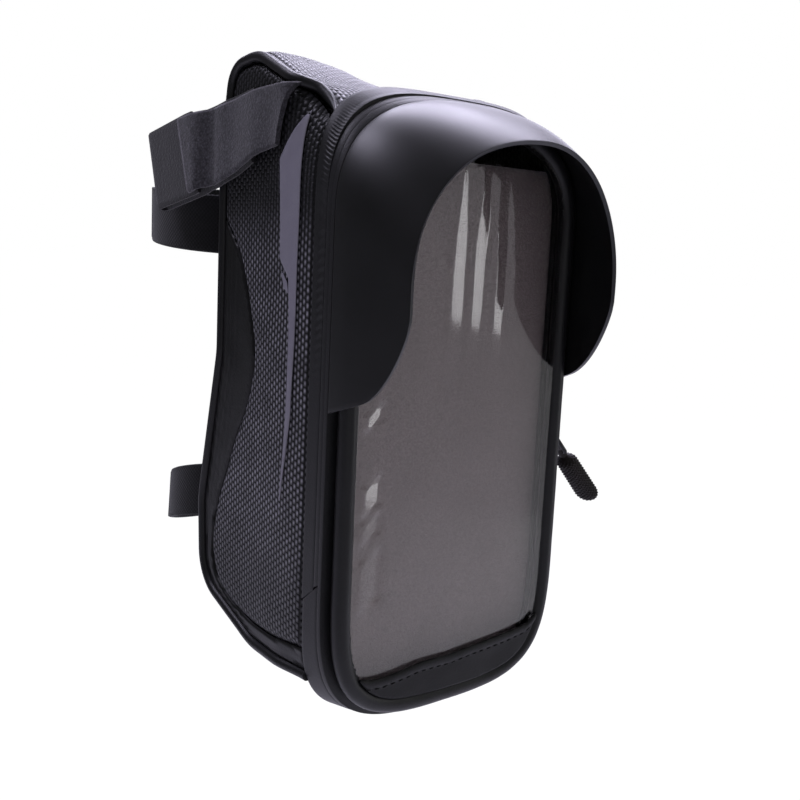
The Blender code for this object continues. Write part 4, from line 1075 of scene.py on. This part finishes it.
def make_zip():
    """Tapes with the coils behind them, the strip that hinges the lid, and the end stops."""
    first, last = zip_place(ZIP_END, 1.0), zip_place(ZIP_END, -1.0)
    lid_back, body_front = SLOT_MIDDLE - ZIP_SLOT / 2.0, SLOT_MIDDLE + ZIP_SLOT / 2.0
    corner = 0.12

    section = rounded_section(lid_back - 1.7, lid_back, 0.0, TAPE_THICK, corner, 2)
    bm = rim_sweep(section, first, last, 300, plain_tape)
    add_piece("coated_tape_lid", bm, [band_skin], "lid", ["zip_tape_lid"])
    section = rounded_section(body_front, -BODY_DEPTH + 0.4, 0.0, TAPE_THICK, corner, 2)
    bm = rim_sweep(divided(section, 2, 9), first, last, 1100, ribbed_tape)
    add_piece("coated_tape_body", bm, [band_skin], "bag", ["zip_tape_body"])

    turns, turn_steps, coil_half, coil_deep, coil_wire = 330, 8, 0.62, 0.5, 0.2
    coil_inset = TAPE_THICK + CLEAR + 0.75
    for name, middle, body, phase in (("lid", lid_back - 0.75, "lid", 0.0),
                                      ("body", body_front + 0.75, "bag", 0.5)):
        points = []
        for index in range(turns * turn_steps + 1):
            share = index / (turns * turn_steps)
            angle = 2.0 * pi * (share * turns + phase)
            inset = coil_inset + coil_deep * sin(angle)
            x, z = rim_point(blend(first, last, share), rim_share(middle), inset)
            points.append((x, middle + coil_half * cos(angle), z))
        bm = tube(points, coil_wire, around=5)
        add_piece(f"coil_{name}", bm, [coil_nylon], body, [f"zip_coil_{name}"])

    hinge_wall, hinge_gap = 1.4, 0.0006
    section = rounded_section(LID_FRONT_Y + FRAME_THICK + CLEAR, -BODY_DEPTH, 0.0, hinge_wall,
                              0.4, 2)
    section = divided(divided(section, 8, 8), 2, 8)
    bm = rim_sweep(section, last + hinge_gap - 1.0, first - hinge_gap, 180)
    # The lid and two places at its foot, in metres, on the bag's half and on the lid's; no bend is
    # made from them
    bends = ("lid", (0.0, -0.0640, -0.130), (0.0, -0.0688, -0.130))
    add_piece("lid_hinge_cloth", bm, [band_skin], "bag", ["hinge_strip"],
              bends=bends)

    stops = bmesh.new()
    for middle in (-44.5, 44.5):
        box_part(stops, (middle - 0.5, -65.6, -82.0), (middle + 0.5, -62.2, -79.4), 0.3)
    add_piece("zip_end_stops", stops, [metal], "bag", ["zip_stop_left", "zip_stop_right"])


def box_part(bm, low, high, edge):
    """A block with rounded edges, from its lowest to its highest corner."""
    made = bmesh.ops.create_cube(bm, size=1.0)
    bmesh.ops.scale(bm, vec=Vector(high) - Vector(low), verts=made["verts"])
    bmesh.ops.translate(bm, vec=(Vector(high) + Vector(low)) / 2.0, verts=made["verts"])
    edges = list(dict.fromkeys(side for vertex in made["verts"] for side in vertex.link_edges))
    bmesh.ops.bevel(bm, geom=edges, offset=edge, segments=3, affect="EDGES", profile=0.5,
                    material=-1)


def make_slider():
    """Zinc slider over both tapes with its bow, and the ring and rubber pull that hang from it."""
    outer = HALF_WIDTH + CLEAR
    inner = LID_RIM["half"] - 3.0
    skin = outer + SLIDER_WALL
    bow = outer + 3.8
    half, wide = SLIDER_LENGTH / 2.0, SLIDER_WIDTH / 2.0
    blocks = {
        "outer plate": ((outer, -wide, -half), (skin, wide, half), 0.5),
        "inner plate": ((inner - SLIDER_WALL, -2.0, -half), (inner, 2.8, half), 0.4),
        "bridge between them": ((inner - 0.4, -0.3, -4.0), (outer + 0.4, 0.3, -1.0), 0.1),
        "lower leg of the bow": ((skin - 0.4, -1.0, -3.4), (bow, 1.0, -2.2), 0.35),
        "upper leg of the bow": ((skin - 0.4, -1.0, 2.2), (bow, 1.0, 3.4), 0.35),
        "bar of the bow": ((bow - 0.9, -1.0, -3.4), (bow, 1.0, 3.4), 0.35),
    }
    bm = bmesh.new()
    for low, high, edge in blocks.values():
        box_part(bm, low, high, edge)
    bmesh.ops.translate(bm, vec=(0.0, SLOT_MIDDLE, SLIDER_Z), verts=bm.verts)
    add_piece("slider_body", bm, [metal], "slider", ["zip_slider"])

    pivot = Vector((skin + 0.85, SLOT_MIDDLE, SLIDER_Z))
    down = Vector((sin(PULL_ANGLE), 0.0, -cos(PULL_ANGLE)))
    out = Vector((cos(PULL_ANGLE), 0.0, sin(PULL_ANGLE)))
    ring_half, bend = 2.5, 1.2
    loop = []
    for index, (across, along) in enumerate(((-1.0, 0.0), (1.0, 0.0), (1.0, 1.0), (-1.0, 1.0))):
        centre_y = across * (ring_half - bend)
        centre_down = blend(bend, RING_LENGTH - bend, along)
        for part in range(8):
            angle = -pi + index * pi / 2.0 + part * pi / 14.0
            loop.append(pivot + Vector((0.0, centre_y + bend * cos(angle), 0.0))
                        + down * (centre_down + bend * sin(angle)))
    bm = tube(spaced_out(loop, 1.0), RING_WIRE, around=12, closed=True)
    add_piece("ring_of_pull", bm, [metal], "pull", ["pull_ring"])

    neck = RING_WIRE + CLEAR + 0.9
    whole = GRIP_LENGTH + neck

    def grip_point(u, v):
        """The neck that holds the ring, then the body with its crossing grooves."""
        angle = 2.0 * pi * v
        body = min(1.0, max(0.0, (u * whole - 2.0 * neck) / GRIP_LENGTH))
        wide, thick = 1.9, 1.7
        if body > 0.0:
            share = smooth_step(0.45 + body * 4.0)
            if body >= 0.8:
                share = max(0.0, cos((body - 0.8) / 0.2 * 1.5)) ** 0.55
            wide, thick = 5.2 * share * blend(0.85, 1.0, body), 3.4 * share
        turn, climb = v * 14.0, body * 18.0
        knurl = abs(sin((turn + climb) * pi)) * abs(sin((turn - climb) * pi))
        rise = 0.42 * knurl * smooth_step(body * 8.0) * smooth_step((1.0 - body) * 8.0) - 0.3
        spot = pivot + down * (RING_LENGTH - neck + whole * u)
        return (spot + Vector((0.0, cos(angle) * (wide + rise), 0.0))
                + out * (sin(angle) * (thick + rise)))

    bm = grid_sheet(150, 112, grip_point, (GRIP_LENGTH, 24.0), join_rows=True)
    close_ends(bm)
    add_piece("rubber_grip", bm, [grip_rubber], "pull", ["pull_grip"], angle=60.0)


# ---- straps ----

def webbing_band(name, route, wall, top, low, lean, material, replaces, climb, closed=True,
                 stand_off=0.0):
    """A band of webbing along a route seen from above, between two heights."""
    count = len(route) if closed else len(route) - 1
    section = rounded_section(-wall / 2.0, wall / 2.0, 0.0, top - low, wall * 0.35, 2)
    section = divided(divided(section, 11, 8), 5, 8)
    around = len(section) - 1
    middle = (top + low) / 2.0

    def point(u, v):
        index = round(u * count) % len(route)
        before = Vector(route[index - 1] if closed or index else route[0])
        after = Vector(route[(index + 1) % len(route)] if closed or index < count else route[count])
        along = (after - before).normalized()
        reach, rise = section[round(v * around)]
        z = low + rise
        spot = Vector(route[index]) + Vector((along.y, -along.x)) * (stand_off + reach)
        return spot.x, spot.y + (middle - z) * lean, z + climb(route[index][1])

    length = path_length(route + ([route[0]] if closed else []))
    bm = grid_sheet(count, around, point, (length, 2.0 * (top - low + wall)), closed, True)
    if not closed:
        close_ends(bm)
    add_piece(name, bm, [material], "bag", replaces, angle=50.0)


def back_y(z):
    """Outer face of the strip behind the bag at a height."""
    behind = [spot for spot in SIDE_PATH if spot[0] > -7.2]
    for upper, lower in zip(behind, behind[1:]):
        if lower[1] <= z <= upper[1] and upper[1] > lower[1]:
            y = blend(lower[0], upper[0], (z - lower[1]) / (upper[1] - lower[1]))
            return y + sole_crown(y, z) + 2.6 * smooth_step((z - 47.0) / 22.0)
    return 0.0


def make_loop(name, middle_z, half_length, depth, rise):
    """Webbing loop behind the bag, the keeper sewn over it and its fastened tail."""
    half = LOOP_STRAP_WIDTH / 2.0
    top, low = middle_z + half, middle_z - half
    lean = (back_y(low) - back_y(top)) / LOOP_STRAP_WIDTH
    heights = [blend(low, top, part / 8.0) for part in range(9)]
    seat = max(back_y(z) - (middle_z - z) * lean for z in heights) + CLEAR
    start = seat + LOOP_STRAP_WALL / 2.0
    straight = KEEPER_WIDTH / 2.0 + 1.0
    radius = half_length - straight
    route = []
    for side in (1.0, -1.0):
        for part in range(41):
            angle = -pi / 2.0 + pi * part / 40.0
            route.append((side * (straight + cos(angle) * radius),
                          start + depth / 2.0 + side * sin(angle) * depth / 2.0))
    route = spaced_out(route, 3.0)

    def climb(y):
        return rise * smooth_step((y - start) / depth * 0.5) * 2.0 if y > start else 0.0

    webbing_band(f"webbing_loop_{name}", route, LOOP_STRAP_WALL, top, low, lean, black_webbing,
                 [f"strap_loop_{name}"], climb)
    rear = [spot for spot in route if spot[1] > start + depth * 0.82]
    webbing_band(f"loop_tail_{name}", rear, HOOK_TAPE_WALL, top - CLEAR, low + CLEAR, lean,
                 hook_cloth, [f"strap_tail_{name}"], climb, closed=False,
                 stand_off=(LOOP_STRAP_WALL + HOOK_TAPE_WALL) / 2.0 + 0.2)

    over = seat + LOOP_STRAP_WALL + CLEAR + KEEPER_WALL / 2.0
    clear_z = half + 1.5
    corners = []
    for away in (clear_z + 4.0, clear_z, clear_z - 1.0, 0.0, 1.0 - clear_z, -clear_z,
                 -clear_z - 4.0):
        z = middle_z + away
        on_strap = abs(away) < clear_z
        y = over - away * lean if on_strap else back_y(z) + CLEAR + KEEPER_WALL / 2.0
        corners.append((y, z))
    corners = rounded(spaced_out(corners, 3.0), 2)

    def keeper_point(u, v):
        y, z = corners[round(u * (len(corners) - 1))]
        return blend(KEEPER_WIDTH / 2.0, -KEEPER_WIDTH / 2.0, v), y, z

    bm = grid_sheet(len(corners) - 1, 16, keeper_point, (LOOP_STRAP_WIDTH + 10.0, KEEPER_WIDTH))
    add_piece(f"sewn_keeper_{name}", bm, [black_webbing], "bag", [f"strap_keeper_{name}"],
              wall=KEEPER_WALL, offset=0.0, edge=0.25,
              outward=BACKWARD)
    rows = []
    for away in (clear_z + 2.6, -clear_z - 2.6):
        y = back_y(middle_z + away) + CLEAR + KEEPER_WALL + 0.05
        row = [(blend(-8.5, 8.5, part / 10.0), y, middle_z + away) for part in range(11)]
        rows.append((row, BACKWARD))
    stitches(f"keeper_stitching_{name}", rows, "bag", 2.4, 1.8)


NECK_END_Y = 12.0
NECK_ROOT_Y = -40.0


def neck_top(y):
    """Height of the neck strap's upper edge, which drops towards its end."""
    return 64.6 - 5.5 * max(0.0, (y - NECK_ROOT_Y) / (NECK_END_Y - NECK_ROOT_Y)) ** 1.8


def folded_top(y):
    """The folded ply shows above the outer one and drops further behind the bag."""
    return neck_top(min(y, NECK_END_Y)) + 1.6 - max(0.0, y - NECK_END_Y) * 0.2


def pulled_up(y, share):
    """The strap climbs to its seam at the top, its lower edge more than its upper one."""
    return blend(8.5, 1.6, share) * smooth_step((2.0 - y) / 46.0)


def neck_strap_piece(name, corners, side, top, width, wall, materials, replaces,
                     climb=None):
    """A strap along a side of the bag; the corners give (gap from the side, y)."""
    route = spaced_out(rounded(spaced_out(corners, 5.0), 1), 1.6)
    count = len(route) - 1
    # Share of the strap's height at each edge; the upper one carries the painted highlight
    edge_highlight_share = 0.032
    heights = [0.0] + [blend(edge_highlight_share, 1.0 - edge_highlight_share, part / 20.0) for part in range(21)] + [1.0]
    section = [(wall / 2.0, share) for share in heights]
    section += [(-wall / 2.0, share) for share in reversed(heights)] + section[:1]
    around = len(section) - 1

    def point(u, v):
        index = round(u * count)
        gap, y = route[index]
        reach, share = section[round(v * around)]
        edge = min(share, 1.0 - share) * width
        reach *= 0.45 + 0.55 * smooth_step(edge / (0.48 * wall))
        z = top(y) - width * (1.0 - share)
        rooted = 1.0 - smooth_step((y - NECK_ROOT_Y) / 12.0)
        z += climb(y, share) if climb else 0.0
        y += 9.0 * (share - 0.5) * smooth_step(y / NECK_END_Y) - 8.0 * rooted * share ** 1.5
        before, after = route[max(0, index - 1)], route[min(count, index + 1)]
        along = (Vector(after) - Vector(before)).normalized()
        hug = half_width_at(y, z) + puff_at(y, z) + 0.6 * rooted * share
        return side * (hug + gap + along.y * reach), y - along.x * reach, z

    bm = grid_sheet(count, around, point, (float(count), float(around)), join_rows=True)
    # Faces along the upper edge and at the end take the second material, a painted highlight
    if len(materials) > 1:
        uv = bm.loops.layers.uv.verify()
        highlight_rows = range(len(heights) - 2, len(heights) + 1)
        for face in bm.faces:
            middle = sum((loop[uv].uv for loop in face.loops), Vector((0.0, 0.0))) / len(face.loops)
            if int(middle.y) in highlight_rows or middle.x > count - 1:
                face.material_index = 1
    close_ends(bm)
    add_piece(name, bm, materials, "bag", replaces, angle=60.0)


def make_neck_straps():
    """Left: an outer ply over a ply that is folded back on itself. Right: a ply and its hooks."""
    wall = NECK_STRAP_WALL
    ply = wall + CLEAR
    under = 1.7 * CLEAR + wall / 2.0
    past = 2.0 * CLEAR + PIPING_STANDS + wall / 2.0
    tab_gap = past + 2.0 * ply
    lift_y, past_y, clear_y = -14.0, -7.0, -2.0
    turn_y, flare = 36.0, 2.0

    outer = ((under, NECK_ROOT_Y), (under, -36.0), (under + ply, -28.0), (under + ply, lift_y),
             (past + ply, past_y), (past + ply, clear_y), (tab_gap + ply + CLEAR, 4.0),
             (tab_gap + ply + 2.0 * CLEAR, NECK_END_Y))
    neck_strap_piece("neck_strap_outer_ply", outer, -1.0, neck_top, 25.0, wall,
                     [neck_pile, neck_edge_highlight], ["neck_strap_left"], pulled_up)

    turn_gap = (past + tab_gap) / 2.0 + flare
    turn_radius = (tab_gap - past) / 2.0
    inner = [(under, -24.0), (under, lift_y), (past, past_y), (past, clear_y),
             (past + flare, turn_y)]
    for part in range(1, 8):
        angle = pi * part / 8.0
        inner.append((turn_gap - turn_radius * cos(angle), turn_y + turn_radius * sin(angle)))
    inner += [(tab_gap + flare, turn_y), (tab_gap, 8.0)]
    neck_strap_piece("neck_strap_folded_ply", inner, -1.0, folded_top, 27.0, wall, [inner_pile],
                     ["neck_strap_left_end"], pulled_up)

    right = ((under + CLEAR, NECK_ROOT_Y), (under + CLEAR, lift_y), (past, past_y),
             (past, NECK_END_Y))
    neck_strap_piece("neck_strap_right_ply", right, 1.0, neck_top, 25.0, wall, [neck_pile],
                     ["neck_strap_right"])
    patch_gap = past + (wall + HOOK_TAPE_WALL) / 2.0 + CLEAR
    patch = ((patch_gap, 2.0), (patch_gap, NECK_END_Y - 1.0))
    neck_strap_piece("neck_strap_hook_patch", patch, 1.0, lambda y: neck_top(y) - 1.5, 22.0,
                     HOOK_TAPE_WALL, [hook_cloth], ["neck_hook_patch_right"])


make_top_and_back()
make_side("left", -1.0)
make_side("right", 1.0)
make_lid()
make_visor()
make_zip()
make_slider()
make_loop("upper", middle_z=24.2, half_length=47.0, depth=84.0, rise=6.0)
make_loop("lower", middle_z=-74.0, half_length=40.0, depth=60.0, rise=-16.0)
make_neck_straps()


# ---- studio ----

COOL_WHITE = "#ebe7ff"
PAPER_GLOW = 1.04
ROOM_LIGHT = 0.09
# Camera fitted to the photograph, in metres: its place, and which ways its right and view point
CAMERA_PLACE = (-0.20249, -0.30123, 0.01901)
CAMERA_RIGHT = (0.79034, -0.61079, 0.04794)
CAMERA_AHEAD = (0.61005, 0.77731, -0.1537)
CAMERA_LENS = 43.705


def seen_ray(tree):
    """1 for what the camera sees, also through the film, and 0 for light on the bag."""
    rays = add_node(tree, "LightPath", ())
    return add_node(tree, "Math", (rays.outputs["Is Camera Ray"],
                                   rays.outputs["Is Transmission Ray"]), operation="MAXIMUM")


def add_stage(name, data, turn=None, place=(0.0, 0.0, 0.0)):
    """An object of the studio, turned and placed in metres."""
    made = bpy.data.objects.new(name, data)
    made.matrix_world = Matrix.Translation(place) @ (turn or Matrix.Identity(4))
    bpy.context.scene.collection.objects.link(made)
    return made


def soft_box(name, place, target, width, height, power, tint="#ffffff"):
    """A rectangular lamp in watts that faces a target."""
    lamp = bpy.data.lights.new(name, "AREA")
    lamp.shape = "RECTANGLE"
    lamp.size, lamp.size_y = width, height
    lamp.energy = power
    lamp.color = colour(tint)[:3]
    turn = (Vector(target) - Vector(place)).to_track_quat("-Z", "Y").to_matrix().to_4x4()
    add_stage(name, lamp, turn, place)


def make_studio():
    """White paper far below the bag, a white room, five soft boxes and the photograph's camera."""
    scene = bpy.context.scene
    scene.view_settings.view_transform = "Standard"
    floor = bmesh.new()
    bmesh.ops.create_grid(floor, x_segments=1, y_segments=1, size=40.0)
    bmesh.ops.translate(floor, vec=(0.0, 0.0, -0.42), verts=floor.verts)
    mesh = bpy.data.meshes.new("studio_floor")
    floor.to_mesh(mesh)
    floor.free()
    # White paper: it glows evenly where it is seen, so that no horizon shows
    paper, tree, shader, places = start_material("white_paper", Roughness=0.9)
    shader.inputs["Base Color"].default_value = colour("#f4f4f4")
    lit = add_node(tree, "Emission", {"Color": (1.0, 1.0, 1.0, 1.0), "Strength": PAPER_GLOW})
    share = add_node(tree, "Math", (seen_ray(tree), 0.96), operation="MULTIPLY")
    mix = add_node(tree, "MixShader", (share, shader, lit))
    tree.links.new(mix.outputs[0], tree.nodes["Material Output"].inputs["Surface"])
    mesh.materials.append(paper)
    add_stage("studio_floor", mesh)

    world = bpy.data.worlds.new("studio_world")
    world.use_nodes = True
    scene.world = world
    tree = world.node_tree
    background = tree.nodes["Background"]
    background.inputs["Color"].default_value = (1.0, 1.0, 1.0, 1.0)
    strength = add_node(tree, "Math", (seen_ray(tree), 1.0 - ROOM_LIGHT, ROOM_LIGHT),
                        operation="MULTIPLY_ADD")
    tree.links.new(strength.outputs[0], background.inputs["Strength"])

    middle = (0.0, -0.03, 0.0)
    soft_box("overhead_box", (-0.45, 0.4, 1.05), middle, 0.6, 0.45, 7.0, COOL_WHITE)
    soft_box("key_box", (0.5, 0.42, 1.0), middle, 0.8, 0.55, 16.0, COOL_WHITE)
    soft_box("rear_wall_box", (0.9, 1.15, 0.45), middle, 1.6, 0.7, 12.0, COOL_WHITE)
    soft_box("strip_box", (1.04, -0.77, 0.2), (0.0, -0.075, 0.0), 0.26, 1.4, 2.6)
    soft_box("front_fill", (-0.5, -1.3, 0.3), (0.0, -0.03, -0.02), 1.0, 1.0, 1.1)

    lens = bpy.data.cameras.new("photo_camera")
    lens.lens = CAMERA_LENS
    lens.sensor_width = 36.0
    lens.clip_start, lens.clip_end = 0.01, 20.0
    right, ahead = Vector(CAMERA_RIGHT).normalized(), Vector(CAMERA_AHEAD).normalized()
    turn = Matrix((right, right.cross(ahead), -ahead)).transposed().to_4x4()
    scene.camera = add_stage("photo_camera", lens, turn, CAMERA_PLACE)


make_studio()
